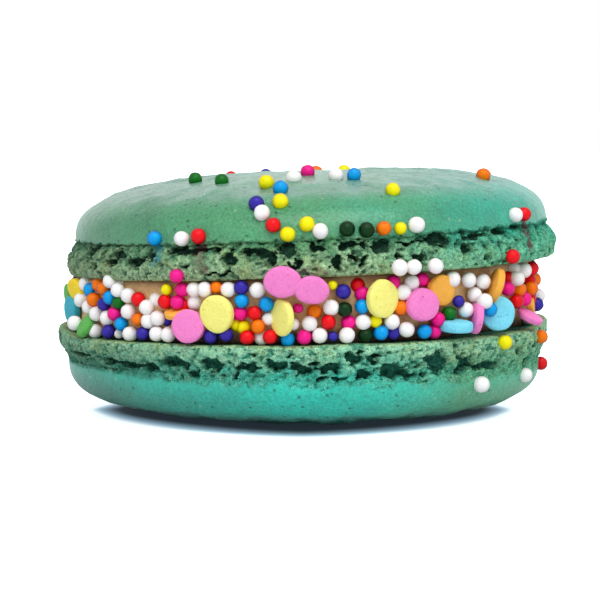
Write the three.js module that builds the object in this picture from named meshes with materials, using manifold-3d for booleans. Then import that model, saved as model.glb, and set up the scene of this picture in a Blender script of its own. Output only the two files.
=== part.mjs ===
// A round sandwich biscuit (macaron): two baked meringue shells with craggy feet,
// and between them a disc of buttercream whose edge is rolled in sugar pearls and
// sugar confetti. Millimetres, +Z up. The origin is on the axis of the lower shell,
// at the small flat spot of its dome on which the biscuit rests.
//
// Azimuths are in degrees round the axis: 0 is the front (-Y), 90 is the right (+X).

import * as THREE from "three";
import { mergeVertices } from "three/addons/utils/BufferGeometryUtils.js";
import Module from "manifold-3d";

const wasm = await Module();
wasm.setup();

// Driving dimensions
const BISCUIT_DIAMETER = 49.2; // across the feet, without their crags
const FOOT_RADIUS = BISCUIT_DIAMETER / 2;
const CAP_RADIUS = FOOT_RADIUS - 0.85; // the smooth dome stands back from its foot
const FILLING_HEIGHT = 6.2; // on the axis, between the flat faces of the shells
const CREAM_RADIUS = FOOT_RADIUS - 1.1; // the buttercream stands back under the feet
const CREAM_BULGE = 0.25; // and swells by this much half-way up
const SHELL_GAP = 0.3; // between the filling and each shell

const LOWER_SHELL = {
  seed: 11,
  footHeight: 3.0,
  domeHeight: 5.65,
  domePower: 3.1, // superellipse exponent: 2 is an ellipse, more is a squarer shoulder
  bulgeAt: 0.12, // share of the foot's height, from the flat face, where it is widest
  faceTilt: 0.9, // degrees, its flat face rises to the right
};
const UPPER_SHELL = {
  seed: 29,
  footHeight: 3.35,
  domeHeight: 5.95,
  domePower: 2.85,
  bulgeAt: 0.38,
  faceTilt: 2.45, // the whole shell rises to the right
  shift: 0.85, // and sits a little to the right of the lower one
};
const LOWER_FACE_HEIGHT = LOWER_SHELL.footHeight + LOWER_SHELL.domeHeight;
const UPPER_FACE_HEIGHT = LOWER_FACE_HEIGHT + FILLING_HEIGHT;
const REST_DEPTH = 0.05; // taken off the lowest point of the dome, for a flat spot

const SHELL_SEGMENTS = 72; // round each shell
const CREAM_SEGMENTS = 44;
const CREAM_ROWS = 2;
const FOOT_ROWS = 5;
const FOOT_ROW_HEIGHTS = { first: 0.3, lastBelowSeam: 0.2 };
const DOME_ROWS = 5;
const FACE_CHAMFER = 0.35; // the flat face is smaller than the foot by this much
const UNDERCUT_SPAN = 0.6; // share of the foot's height in which it would close below its bulge
const SEAM_DEPTH = 0.5; // groove between the foot and the dome
const CRAG_DEPTH = 0.5; // the foot's lumps stand out and in by this much
const CRAG_CELLS_ROUND = 70; // lumps round the foot
const CRAG_CELL_HEIGHT = 0.7;

const PEARL_RADIUS = { least: 0.6, most: 0.8 };
const PEARL_CORNERS = 1.06; // reach of a faceted pearl's corners, in radii of its ball
const PEARL_SUNK = { least: 0.28, most: 0.42 }; // share of a pearl's diameter in the cream
const PEARL_ON_DOME = 0.2; // height of a baked-on pearl's middle over the crust, in radii
const PEARL_ON_FOOT = 0.45;
const LOOSEST_PEARL = 0.6; // farthest that a pearl's middle stays off the cream, in radii
const PEARLS_IN_FILLING = 138;
const MOST_DRAWS = 40000;
const PEARLS_ON_BACK_OF_DOME = 9;
const CONFETTI = { radius: 1.66, thickness: 0.95, sides: 10 };
const CONFETTI_ROOM = 0.8; // ball that keeps pearls off a disc, in radii of the disc

// Confetti that faces the viewer in front. Along is the place between the lower face (0)
// and the upper one (1), turn swings the disc about the upright, lean tips its top outwards,
// and out is how far its middle stands beyond the cream.
const FRONT_CONFETTI = [
  { azimuth: -82, along: 0.62, turn: 20, lean: 0, out: 0.5 },
  { azimuth: -70, along: 0.5, turn: 12, lean: 0, out: 0.6 },
  { azimuth: -61, along: 0.34, turn: -48, lean: 8, out: 0.7 },
  { azimuth: -27, along: 0.34, turn: 6, lean: -6, out: 0.9 },
  { azimuth: -20, along: 0.5, turn: -5, lean: 4, out: 0.9 },
  { azimuth: -5.5, along: 0.44, turn: -50, lean: 0, out: 0.8 },
  { azimuth: -5.7, along: 0.9, turn: -4, lean: 30, out: 1.65 },
  { azimuth: 0.6, along: 0.72, turn: 6, lean: 14, out: 1.15 },
  { azimuth: 16, along: 0.62, turn: 20, lean: 2, out: 0.8 },
  { azimuth: 25.5, along: 0.52, turn: 4, lean: -4, out: 0.9 },
  { azimuth: 32.5, along: 0.66, turn: 5, lean: 6, out: 0.3 },
  { azimuth: 35.5, along: 0.21, turn: 0, lean: -85, out: 0.8 },
  { azimuth: 41.5, along: 0.34, turn: 60, lean: 10, out: 0.7 },
  { azimuth: 48.5, along: 0.66, turn: 56, lean: 0, out: 0.7 },
  { azimuth: 48.5, along: 0.34, turn: -30, lean: -5, out: 0.9 },
  { azimuth: 63.5, along: 0.24, turn: 0, lean: -62, out: 0.7 },
];
const BACK_CONFETTI = { from: 78, to: 268, count: 17, turn: 55, lean: 25 };

// Pearls baked on to the shells: the azimuth, and the angle up the dome's shoulder,
// from 0 at its edge to 90 at the top.
const UPPER_DOME_PEARLS = [
  [-38, 2], [-30, 2], [-26, 3], [-13, 29], [-11, 18], [-8, 8], [-7, 29], [-9, 49],
  [-16, 61], [-5, 3], [-1, 8], [2, 4], [-8, 73], [14, 71], [25, 72], [23, 39],
  [8, 4], [12, 3], [16, 3], [20, 3], [24, 5], [56, 6], [61, 6], [81, 50],
  [-51, 71], [-100, 69], [-112, 76], [-135, 82], [171, 83], [141, 82],
];
const LOWER_DOME_PEARLS = [[45, 6], [64, 4], [84, 2]];
const UPPER_FOOT_PEARLS = [[20, 0.9], [23.5, 0.9], [29, 0.9], [52, 1.3]]; // azimuth, height
const LOWER_FOOT_PEARLS = [[49.5, 0.8], [68, 1.0]];

const GOLDEN_ANGLE = 180 * (3 - Math.sqrt(5)); // steps of it never fall into rows

const radians = THREE.MathUtils.degToRad;
const slope = (degrees) => Math.tan(radians(degrees));

// Whole-number random draws, so that every run gives the same biscuit.
function seededDraws(seed) {
  let state = seed;
  return (least, most) => {
    state = (state * 48271) % 2147483647;
    return least + (most - least) * (state / 2147483647);
  };
}

// A direction round the axis, outwards at an azimuth.
function outwards(azimuth) {
  const angle = radians(azimuth);
  return new THREE.Vector3(Math.sin(angle), -Math.cos(angle), 0);
}

// Height of the two faces that hold the filling, at x to the right of the axis.
const lowerFaceAt = (x) => LOWER_FACE_HEIGHT + x * slope(LOWER_SHELL.faceTilt);
const upperFaceAt = (x) =>
  UPPER_FACE_HEIGHT + (x - UPPER_SHELL.shift) * slope(UPPER_SHELL.faceTilt);

// One value in 0..1 for each cell of a lattice.
function latticeValue(i, j, seed) {
  const wave = Math.sin(i * 127.1 + j * 311.7 + seed * 74.7) * 43758.5453;
  return wave - Math.floor(wave);
}

// Lumps of the foot: lattice values, smoothly blended, and closed round the biscuit.
function cragRelief(turnShare, height, seed) {
  const u = turnShare * CRAG_CELLS_ROUND;
  const v = height / CRAG_CELL_HEIGHT;
  const [i, j] = [Math.floor(u), Math.floor(v)];
  const [s, t] = [THREE.MathUtils.smoothstep(u - i, 0, 1), THREE.MathUtils.smoothstep(v - j, 0, 1)];
  const at = (a, b) => latticeValue((i + a) % CRAG_CELLS_ROUND, j + b, seed);
  const low = THREE.MathUtils.lerp(at(0, 0), at(1, 0), s);
  const high = THREE.MathUtils.lerp(at(0, 1), at(1, 1), s);
  return 2 * THREE.MathUtils.lerp(low, high, t) - 1;
}

// Radius of the foot, without its lumps, at a height above the shell's flat face.
function footRadiusAt(height, shell) {
  const beyond = height / shell.footHeight - shell.bulgeAt;
  const away = beyond < 0 ? -beyond / UNDERCUT_SPAN : beyond / (1 - shell.bulgeAt);
  const seamRadius = CAP_RADIUS - SEAM_DEPTH;
  return seamRadius + (FOOT_RADIUS - seamRadius) * Math.cos((Math.PI / 2) * away);
}

// A point on the smooth dome: radius and height above the shell's flat face.
function domePoint(lift, shell) {
  const power = 2 / shell.domePower;
  return {
    radius: CAP_RADIUS * Math.cos(radians(lift)) ** power,
    height: shell.footHeight + shell.domeHeight * Math.sin(radians(lift)) ** power,
  };
}

// The direction straight out of the dome there: the gradient of its superellipse.
function domeNormal(azimuth, lift, shell) {
  const power = 2 - 2 / shell.domePower;
  const normal = outwards(azimuth).multiplyScalar(Math.cos(radians(lift)) ** power / CAP_RADIUS);
  normal.z = Math.sin(radians(lift)) ** power / shell.domeHeight;
  return normal.normalize();
}

// Rings of a shell from its flat face to the top of its dome, as radius and height,
// with the share of the crags that each ring takes.
function shellRings(shell) {
  const rings = [{ radius: footRadiusAt(0, shell) - FACE_CHAMFER, height: 0, crags: 0 }];
  const { first, lastBelowSeam } = FOOT_ROW_HEIGHTS;
  for (let row = 0; row < FOOT_ROWS; row += 1) {
    const height = THREE.MathUtils.lerp(
      first, shell.footHeight - lastBelowSeam, row / (FOOT_ROWS - 1));
    rings.push({ radius: footRadiusAt(height, shell), height, crags: 1 });
  }
  for (let row = 0; row < DOME_ROWS; row += 1) {
    rings.push({ ...domePoint((90 * row) / DOME_ROWS, shell), crags: 0 });
  }
  return rings;
}

// A closed shell, dome up, with the middle of its flat face at the origin.
function shellGeometry(shell) {
  const rings = shellRings(shell);
  const positions = [0, 0, 0];
  for (const ring of rings) {
    for (let k = 0; k < SHELL_SEGMENTS; k += 1) {
      const share = k / SHELL_SEGMENTS;
      const relief = CRAG_DEPTH * cragRelief(share, ring.height, shell.seed) * ring.crags;
      const point = outwards(360 * share).multiplyScalar(ring.radius + relief);
      positions.push(point.x, point.y, ring.height);
    }
  }
  positions.push(0, 0, shell.footHeight + shell.domeHeight);
  const apex = positions.length / 3 - 1;
  const corner = (ring, k) => 1 + ring * SHELL_SEGMENTS + (k % SHELL_SEGMENTS);
  const index = [];
  for (let k = 0; k < SHELL_SEGMENTS; k += 1) {
    index.push(0, corner(0, k + 1), corner(0, k));
    for (let ring = 0; ring + 1 < rings.length; ring += 1) {
      const [a, b] = [corner(ring, k), corner(ring, k + 1)];
      const [c, d] = [corner(ring + 1, k + 1), corner(ring + 1, k)];
      index.push(a, b, c, a, c, d);
    }
    index.push(corner(rings.length - 1, k), corner(rings.length - 1, k + 1), apex);
  }
  const geometry = new THREE.BufferGeometry();
  geometry.setAttribute("position", new THREE.Float32BufferAttribute(positions, 3));
  geometry.setIndex(index);
  return geometry;
}

// The cream: a short cylinder between the two sloping faces, with a bulging edge.
function creamGeometry() {
  const geometry = new THREE.CylinderGeometry(1, 1, 1, CREAM_SEGMENTS, CREAM_ROWS);
  geometry.rotateX(Math.PI / 2);
  const position = geometry.getAttribute("position");
  for (let k = 0; k < position.count; k += 1) {
    const share = position.getZ(k) + 0.5;
    const radius = CREAM_RADIUS + CREAM_BULGE * Math.sin(Math.PI * share);
    const x = position.getX(k) * radius;
    const y = position.getY(k) * radius;
    const low = lowerFaceAt(x) + SHELL_GAP;
    const high = upperFaceAt(x) - SHELL_GAP;
    position.setXYZ(k, x, y, THREE.MathUtils.lerp(low, high, share));
  }
  return geometry;
}

// A pearl with 20 flat faces, rolled so that no two look alike.
function pearlGeometry(pearl, draw) {
  const geometry = new THREE.IcosahedronGeometry(pearl.radius * PEARL_CORNERS, 0);
  geometry.rotateX(draw(0, Math.PI)).rotateY(draw(0, Math.PI));
  return geometry.translate(...pearl.middle);
}

// A confetti disc at its place on the cream's edge, turned and leaned.
function confettiGeometry(disc) {
  const geometry = new THREE.CylinderGeometry(
    CONFETTI.radius, CONFETTI.radius, CONFETTI.thickness, CONFETTI.sides);
  geometry.rotateX(radians(disc.lean));
  geometry.rotateZ(radians(disc.azimuth + disc.turn));
  return geometry.translate(...disc.middle);
}

// Confetti in front where it is placed, and evenly spaced behind with seeded turns.
function placeConfetti(draw) {
  const discs = FRONT_CONFETTI.map((disc) => ({ ...disc }));
  for (let k = 0; k < BACK_CONFETTI.count; k += 1) {
    const share = (k + 0.5) / BACK_CONFETTI.count;
    discs.push({
      azimuth: THREE.MathUtils.lerp(BACK_CONFETTI.from, BACK_CONFETTI.to, share) + draw(-3, 3),
      along: k % 2 ? draw(0.35, 0.45) : draw(0.55, 0.65),
      turn: draw(-BACK_CONFETTI.turn, BACK_CONFETTI.turn),
      lean: draw(-5, BACK_CONFETTI.lean),
      out: draw(0.6, 0.85),
    });
  }
  for (const disc of discs) {
    const middle = outwards(disc.azimuth).multiplyScalar(CREAM_RADIUS + disc.out);
    middle.z = THREE.MathUtils.lerp(lowerFaceAt(middle.x), upperFaceAt(middle.x), disc.along);
    disc.middle = middle;
  }
  return discs;
}

// Distance from the axis at which a pearl, pushed in at an azimuth and height, first meets
// the cream or a sprinkle that is there already.
function pushedIn(pearl, direction, height, sprinkles) {
  const restsAt = CREAM_RADIUS + pearl.radius * (1 - 2 * pearl.sunk);
  return sprinkles.reduce((farthest, other) => {
    const offset = other.middle.clone().sub(new THREE.Vector3(0, 0, height));
    const reach = pearl.radius + other.radius;
    const along = offset.dot(direction);
    const aside = offset.lengthSq() - along * along;
    return aside < reach * reach
      ? Math.max(farthest, along + Math.sqrt(reach * reach - aside)) : farthest;
  }, restsAt);
}

// Pearls round the whole edge: each draw is pushed in, and kept if it comes to rest near
// the cream. Largest first, so that the small ones fill what is left.
function placePearls(discs, draw) {
  const pearls = [];
  const discRoom = CONFETTI.radius * CONFETTI_ROOM;
  const taken = discs.map((disc) => ({ middle: disc.middle, radius: discRoom }));
  for (let attempt = 0; pearls.length < PEARLS_IN_FILLING && attempt < MOST_DRAWS; attempt += 1) {
    const size = 1 - pearls.length / PEARLS_IN_FILLING;
    const radius = THREE.MathUtils.lerp(PEARL_RADIUS.least, PEARL_RADIUS.most, size);
    const pearl = { radius, sunk: draw(PEARL_SUNK.least, PEARL_SUNK.most) };
    const direction = outwards(attempt * GOLDEN_ANGLE);
    const x = direction.x * CREAM_RADIUS;
    const clear = radius + SHELL_GAP;
    const height = draw(lowerFaceAt(x) + clear, upperFaceAt(x) - clear);
    const distance = pushedIn(pearl, direction, height, taken);
    if (distance > CREAM_RADIUS + radius * LOOSEST_PEARL) continue;
    pearl.middle = direction.multiplyScalar(distance);
    pearl.middle.z = height;
    pearls.push(pearl);
    taken.push(pearl);
  }
  return pearls;
}

// A pearl on the dome of a shell that stands dome up at the origin, half sunk in the crust.
function domePearl([azimuth, lift], shell, draw) {
  const point = domePoint(lift, shell);
  const middle = outwards(azimuth).multiplyScalar(point.radius);
  middle.z = point.height;
  const radius = draw(PEARL_RADIUS.least, PEARL_RADIUS.most);
  middle.addScaledVector(domeNormal(azimuth, lift, shell), radius * PEARL_ON_DOME);
  return { radius, middle };
}

// A pearl stuck to the foot of the same shell.
function footPearl([azimuth, height], shell, draw) {
  const radius = draw(PEARL_RADIUS.least, PEARL_RADIUS.most);
  const middle = outwards(azimuth);
  middle.multiplyScalar(footRadiusAt(height, shell) + radius * PEARL_ON_FOOT);
  middle.z = height;
  return { radius, middle };
}

// A closed solid for joining and cutting, from a geometry with shared corners.
function solidOf(geometry) {
  geometry.deleteAttribute("normal");
  geometry.deleteAttribute("uv");
  const merged = mergeVertices(geometry, 1e-4);
  return new wasm.Manifold(new wasm.Mesh({
    numProp: 3,
    vertProperties: new Float32Array(merged.getAttribute("position").array),
    triVerts: new Uint32Array(merged.index.array),
  }));
}

// The body and its toppings as one solid, without the scraps that touch nothing.
function fused(body, toppings) {
  const whole = wasm.Manifold.union([body, ...toppings]);
  return whole.decompose().reduce((a, b) => (a.volume() > b.volume() ? a : b));
}

function meshOf(name, solid, material) {
  const { vertProperties, triVerts } = solid.getMesh();
  const geometry = new THREE.BufferGeometry();
  geometry.setAttribute("position", new THREE.BufferAttribute(new Float32Array(vertProperties), 3));
  geometry.setIndex(new THREE.BufferAttribute(new Uint32Array(triVerts), 1));
  geometry.computeVertexNormals();
  const mesh = new THREE.Mesh(geometry, material);
  mesh.name = name;
  return mesh;
}

function lowerShell(material) {
  const draw = seededDraws(4021);
  const shell = LOWER_SHELL;
  const pearls = [
    ...LOWER_DOME_PEARLS.map((place) => domePearl(place, shell, draw)),
    ...LOWER_FOOT_PEARLS.map((place) => footPearl(place, shell, draw)),
  ];
  const geometries = [shellGeometry(shell), ...pearls.map((pearl) => pearlGeometry(pearl, draw))];
  // Mirrored dome down, then its face is tipped: the foot is taller on the right, while
  // the dome stays level.
  const [body, ...toppings] = geometries.map((geometry) => {
    const domeDown = solidOf(geometry).mirror([0, 0, 1]);
    return domeDown.warp((point) => {
      const footShare = THREE.MathUtils.clamp(1 + point[2] / shell.footHeight, 0, 1);
      point[2] += LOWER_FACE_HEIGHT + footShare * point[0] * slope(shell.faceTilt);
    });
  });
  const floor = new THREE.BoxGeometry(60, 60, 2).translate(0, 0, REST_DEPTH - 1);
  const resting = fused(body, toppings).subtract(solidOf(floor)).translate([0, 0, -REST_DEPTH]);
  return meshOf("lower_shell", resting, material);
}

function filling(material) {
  const draw = seededDraws(977);
  const discs = placeConfetti(draw);
  const pearls = placePearls(discs, draw);
  const toppings = [
    ...discs.map(confettiGeometry),
    ...pearls.map((pearl) => pearlGeometry(pearl, draw)),
  ];
  return meshOf("filling", fused(solidOf(creamGeometry()), toppings.map(solidOf)), material);
}

function upperShell(material) {
  const draw = seededDraws(613);
  const shell = UPPER_SHELL;
  const scattered = Array.from({ length: PEARLS_ON_BACK_OF_DOME },
    () => [draw(100, 260), draw(20, 80)]);
  const pearls = [
    ...[...UPPER_DOME_PEARLS, ...scattered].map((place) => domePearl(place, shell, draw)),
    ...UPPER_FOOT_PEARLS.map((place) => footPearl(place, shell, draw)),
  ];
  const body = solidOf(shellGeometry(shell));
  const toppings = pearls.map((pearl) => solidOf(pearlGeometry(pearl, draw)));
  const mesh = meshOf("upper_shell", fused(body, toppings), material);
  mesh.rotation.y = -radians(shell.faceTilt);
  mesh.position.set(shell.shift, 0, UPPER_FACE_HEIGHT);
  return mesh;
}

const crust = (colour) =>
  new THREE.MeshStandardMaterial({ color: colour, roughness: 0.55, metalness: 0 });

const macaron = new THREE.Group();
macaron.add(lowerShell(crust(0x3a9c86)));
macaron.add(filling(new THREE.MeshStandardMaterial({ color: 0xe8cdbf, roughness: 0.5, metalness: 0 })));
macaron.add(upperShell(crust(0x55a283)));

export default macaron;
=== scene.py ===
# A macaron with sprinkles on a white table: two baked shells, the cream between them, and
# the sugar pearls and confetti that its edge is rolled in. Lengths are in millimetres until
# a mesh is written, which is in metres. Azimuth 0 is the front, 90 the right.

import bpy
import numpy as np
from mathutils import Matrix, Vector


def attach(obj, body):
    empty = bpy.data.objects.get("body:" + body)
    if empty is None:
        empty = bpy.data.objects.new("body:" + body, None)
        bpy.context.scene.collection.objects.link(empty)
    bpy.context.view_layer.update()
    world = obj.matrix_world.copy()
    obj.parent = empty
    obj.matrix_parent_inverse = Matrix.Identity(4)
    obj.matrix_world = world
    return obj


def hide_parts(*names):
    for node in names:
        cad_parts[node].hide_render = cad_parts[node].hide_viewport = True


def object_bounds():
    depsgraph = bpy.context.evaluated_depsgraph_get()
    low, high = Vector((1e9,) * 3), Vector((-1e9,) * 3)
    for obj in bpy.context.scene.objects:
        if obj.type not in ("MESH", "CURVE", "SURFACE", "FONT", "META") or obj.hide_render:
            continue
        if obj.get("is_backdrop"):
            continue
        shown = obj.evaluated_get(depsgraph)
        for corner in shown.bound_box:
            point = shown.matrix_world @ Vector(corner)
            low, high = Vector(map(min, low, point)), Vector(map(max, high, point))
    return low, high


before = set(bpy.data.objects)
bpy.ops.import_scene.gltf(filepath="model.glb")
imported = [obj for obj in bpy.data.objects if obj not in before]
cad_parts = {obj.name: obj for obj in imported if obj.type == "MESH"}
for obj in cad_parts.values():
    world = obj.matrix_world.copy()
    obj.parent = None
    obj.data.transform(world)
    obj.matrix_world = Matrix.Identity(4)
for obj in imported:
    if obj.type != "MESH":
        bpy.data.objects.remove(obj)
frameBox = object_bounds()
mm = 0.001
print("frame loaded:", ", ".join(sorted(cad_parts)))

# Camera

cameraSet = {
    "lens": 141.0,  # mm, with a sensor 36 mm wide
    "sensor": 36.0,
    "place": (0.0, -237.9, 27.8),
    "aim": (-0.36, 0.0, 11.1),
    "pictureWidth": 600,
    "clip": (0.01, 50),  # metres
    "reach": (205, 270, 0.02),  # along a ray: from, to and step over the macaron
}


def cameraAxes():
    # forward = aim - place, right = forward x up, up = right x forward, each 1 long
    place = np.array(cameraSet["place"])
    forward = np.array(cameraSet["aim"]) - place
    forward /= np.linalg.norm(forward)
    right = np.cross(forward, [0, 0, 1])
    right /= np.linalg.norm(right)
    return place, forward, right, np.cross(right, forward)


def raysThrough(pixels):
    # ray = focal length x forward + (x - half) x right + (half - y) x up, 1 long
    place, forward, right, up = cameraAxes()
    half = cameraSet["pictureWidth"] / 2
    focal = cameraSet["lens"] / cameraSet["sensor"] * cameraSet["pictureWidth"]
    pixels = np.asarray(pixels, float)
    ray = focal * forward + (pixels[:, :1] - half) * right + (half - pixels[:, 1:2]) * up
    return place, ray / np.linalg.norm(ray, axis=1, keepdims=True)


def onCylinder(pixels, radius, axisX=0.0):
    # where each pixel's ray first meets an upright cylinder, or where it passes it closest
    place, ray = raysThrough(pixels)
    start = place - [axisX, 0, 0]
    square = (ray[:, :2] ** 2).sum(1)
    product = ray[:, :2] @ start[:2]
    rest = (start[:2] ** 2).sum() - np.asarray(radius) ** 2
    reach = (-product - np.sqrt(np.maximum(product**2 - square * rest, 0))) / square
    return place + reach[:, None] * ray


def makeCamera():
    camera = bpy.data.cameras.new("camera")
    camera.lens = cameraSet["lens"]
    camera.sensor_width = cameraSet["sensor"]
    camera.clip_start, camera.clip_end = cameraSet["clip"]
    holder = bpy.data.objects.new("camera", camera)
    bpy.context.scene.collection.objects.link(holder)
    place, forward, right, up = cameraAxes()
    turned = np.eye(4)
    turned[:3] = np.stack([right, up, -forward, place * mm], 1)
    holder.matrix_world = Matrix(turned.tolist())
    bpy.context.scene.camera = holder


makeCamera()
print("camera set")

# Sizes of the solid model

wholeSet = {
    "footRadius": 24.6,
    "capRadius": 23.75,
    "undercutSpan": 0.9,
    "creamRadius": 23.5,
    "creamShift": 0.3,  # to the right, of the pearls and confetti in front
    "fillingHeight": 6.2,
    "restDepth": 0.05,
}
lowerSet = {
    "seed": 11,
    "footHeight": 3.0,
    "domeHeight": 5.65,
    "domePower": 3.1,
    "bulgeAt": 0.12,
    "seamDepth": 0.12,  # how far the foot draws in under the cap
    "crumbOver": 0.9,  # how far up the cap the crumb straggles
    "tilt": 0.9,  # degrees that the flat face rises to the right
    "shift": 0.0,
}
upperSet = {
    "seed": 29,
    "footHeight": 3.35,
    "domeHeight": 5.95,
    "domePower": 2.85,
    "bulgeAt": 0.38,
    "seamDepth": 0.35,
    "crumbOver": 0.25,
    "tilt": 2.45,
    "shift": 0.85,
}
lowerFace = lowerSet["footHeight"] + lowerSet["domeHeight"]
upperFace = lowerFace + wholeSet["fillingHeight"]


def lowerFaceAt(x):
    # middle height + x * tan(tilt)
    return lowerFace + x * np.tan(np.radians(lowerSet["tilt"]))


def upperFaceAt(x):
    # middle height + (x - shift) * tan(tilt)
    return upperFace + (x - upperSet["shift"]) * np.tan(np.radians(upperSet["tilt"]))


def outwards(azimuth):
    # (sin a, -cos a, 0)
    angle = np.radians(azimuth)
    return np.stack([np.sin(angle), -np.cos(angle), np.zeros_like(angle)], -1)


def azimuthOf(points):
    return np.degrees(np.arctan2(points[..., 0], -points[..., 1]))


def toShell(points, shell):
    # into the space of one shell, which stands dome up on its flat face
    x, y, z = np.moveaxis(points, -1, 0)
    if shell is lowerSet:
        return np.stack([x, y, lowerFaceAt(x) - z], -1)
    angle = np.radians(shell["tilt"])
    x, z = x - shell["shift"], z - upperFace
    return np.stack([x * np.cos(angle) + z * np.sin(angle), y,
                     z * np.cos(angle) - x * np.sin(angle)], -1)


def fromShell(points, shell):
    # and back; the lower shell hangs dome down, and only its foot follows the tilt
    x, y, z = np.moveaxis(points, -1, 0)
    if shell is lowerSet:
        footShare = np.clip(1 - z / shell["footHeight"], 0, 1)
        height = lowerFace - z + footShare * (lowerFaceAt(x) - lowerFace)
        return np.stack([x, y, np.maximum(height - wholeSet["restDepth"], 0)], -1)
    angle = np.radians(shell["tilt"])
    return np.stack([x * np.cos(angle) - z * np.sin(angle) + shell["shift"], y,
                     z * np.cos(angle) + x * np.sin(angle) + upperFace], -1)


def footRadiusAt(height, shell):
    # seam radius + (foot radius - seam radius) * cos(90 degrees * distance from the bulge)
    beyond = height / shell["footHeight"] - shell["bulgeAt"]
    span = np.where(beyond < 0, -wholeSet["undercutSpan"], 1 - shell["bulgeAt"])
    seamRadius = wholeSet["capRadius"] - shell["seamDepth"]
    bulge = np.cos(np.pi / 2 * np.clip(beyond / span, 0, 1))
    return seamRadius + (wholeSet["footRadius"] - seamRadius) * bulge


def domePoint(lift, shell):
    # superellipse: (cap radius * cos(lift)^(2/n), foot height + dome height * sin(lift)^(2/n))
    power = 2 / shell["domePower"]
    cosine = np.cos(np.radians(lift))
    sine = np.sin(np.radians(lift))
    return (wholeSet["capRadius"] * cosine**power,
            shell["footHeight"] + shell["domeHeight"] * sine**power)


def onDome(pixels, out, shell, leaving=False):
    # where each pixel's ray meets the dome grown by out, or leaves it, or passes it closest:
    # (r / (cap radius + out))^n + (height over the foot / (dome height + out))^n = 1
    place, ray = raysThrough(pixels)
    reach = np.arange(*cameraSet["reach"])
    points = place + reach[None, :, None] * ray[:, None]
    inShell = toShell(points, shell)
    power = shell["domePower"]
    share = np.hypot(inShell[..., 0], inShell[..., 1]) / (wholeSet["capRadius"] + out)
    lifted = np.maximum(inShell[..., 2] - shell["footHeight"], 0) / (shell["domeHeight"] + out)
    value = share**power + lifted**power
    inside = value < 1
    met = len(reach) - 1 - inside[:, ::-1].argmax(1) if leaving else inside.argmax(1)
    step = np.where(inside.any(1), met, value.argmin(1))
    return points[np.arange(len(points)), step]


def domeNormal(azimuth, lift, shell):
    # (cos(lift)^(2 - 2/n) / cap radius outwards, sin(lift)^(2 - 2/n) / dome height up), 1 long
    power = 2 - 2 / shell["domePower"]
    across = np.cos(np.radians(lift)) ** power / wholeSet["capRadius"]
    normal = outwards(azimuth) * across[..., None]
    normal[..., 2] = np.sin(np.radians(lift)) ** power / shell["domeHeight"]
    return normal / np.linalg.norm(normal, axis=-1, keepdims=True)


# Seeded draws and noise

def seededDraws(seed):
    # state = state * 48271 mod (2^31 - 1); each call gives a number between two ends
    state = [seed]

    def draw(least=0.0, most=1.0):
        state[0] = state[0] * 48271 % 2147483647
        return least + (most - least) * state[0] / 2147483647

    return draw


def latticeValue(cell, seed):
    # fractional part of sin(127.1 i + 311.7 j + 74.7 k + 53.3 seed) * 43758.5453
    wave = np.sin(cell @ np.array([127.1, 311.7, 74.7]) + 53.3 * seed) * 43758.5453
    return wave - np.floor(wave)


def valueNoise(points, size, seed):
    # lattice values, one every size, blended by smooth steps; 0 to 1
    scaled = points / size
    cell = np.floor(scaled)
    share = scaled - cell
    share = share * share * (3 - 2 * share)
    total = np.zeros(points.shape[:-1])
    for corner in np.ndindex(2, 2, 2):
        weight = np.prod(np.where(corner, share, 1 - share), axis=-1)
        total += weight * latticeValue(cell + corner, seed)
    return total


def layeredNoise(points, size, seed):
    # value noise at a size, half as much at half the size and a quarter at a quarter; 0 to 1
    total = sum(valueNoise(points, size / 2**k, seed + k) / 2**k for k in range(3))
    return total / 1.75


def wobble(points, size, seed):
    # layered noise about 0; -0.5 to 0.5
    return layeredNoise(points, size, seed) - 0.5


def cellDistance(points, size, seed):
    # distance to the nearest of one scattered point per cell, in cells
    scaled = points / size
    cell = np.floor(scaled)
    nearest = np.full(points.shape[:-1], 9.0)
    for offset in np.ndindex(3, 3, 3):
        near = cell + offset - 1
        scattered = near + np.stack([latticeValue(near, seed + k) for k in range(3)], -1)
        nearest = np.minimum(nearest, np.linalg.norm(scattered - scaled, axis=-1))
    return nearest


def smoothStep(value, low, high):
    # 3 s^2 - 2 s^3 of the share s of the way from low to high
    share = np.clip((value - low) / (high - low), 0, 1)
    return share * share * (3 - 2 * share)


# Meshes from arrays

def meshPiece(name, points, faces, material, values=None):
    # a smooth mesh with one number per point for each name in values
    mesh = bpy.data.meshes.new(name)
    mesh.from_pydata((points * mm).tolist(), [], faces)
    mesh.polygons.foreach_set("use_smooth", np.ones(len(mesh.polygons), bool))
    for label, value in (values or {}).items():
        mesh.attributes.new(label, "FLOAT", "POINT").data.foreach_set("value", value)
    mesh.materials.append(material)
    mesh.update()
    piece = bpy.data.objects.new(name, mesh)
    bpy.context.scene.collection.objects.link(piece)
    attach(piece, "root")
    return piece


def ringFaces(rows, around):
    # quads between rings of points and a fan at each end; the points are the first pole,
    # the rings from it, and the last pole
    row, step = np.meshgrid(np.arange(rows - 1), np.arange(around), indexing="ij")
    corner = 1 + row * around + step
    beside = 1 + row * around + (step + 1) % around
    quads = np.stack([corner, beside, beside + around, corner + around], -1).reshape(-1, 4)
    step = np.arange(around)
    ahead = (step + 1) % around
    last = 1 + (rows - 1) * around
    first = np.stack([np.zeros_like(step), 1 + ahead, 1 + step], -1)
    end = np.stack([last + step, last + ahead, np.full_like(step, last + around)], -1)
    return quads.tolist() + first.tolist() + end.tolist()


print("helpers ready")

# Materials

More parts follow.
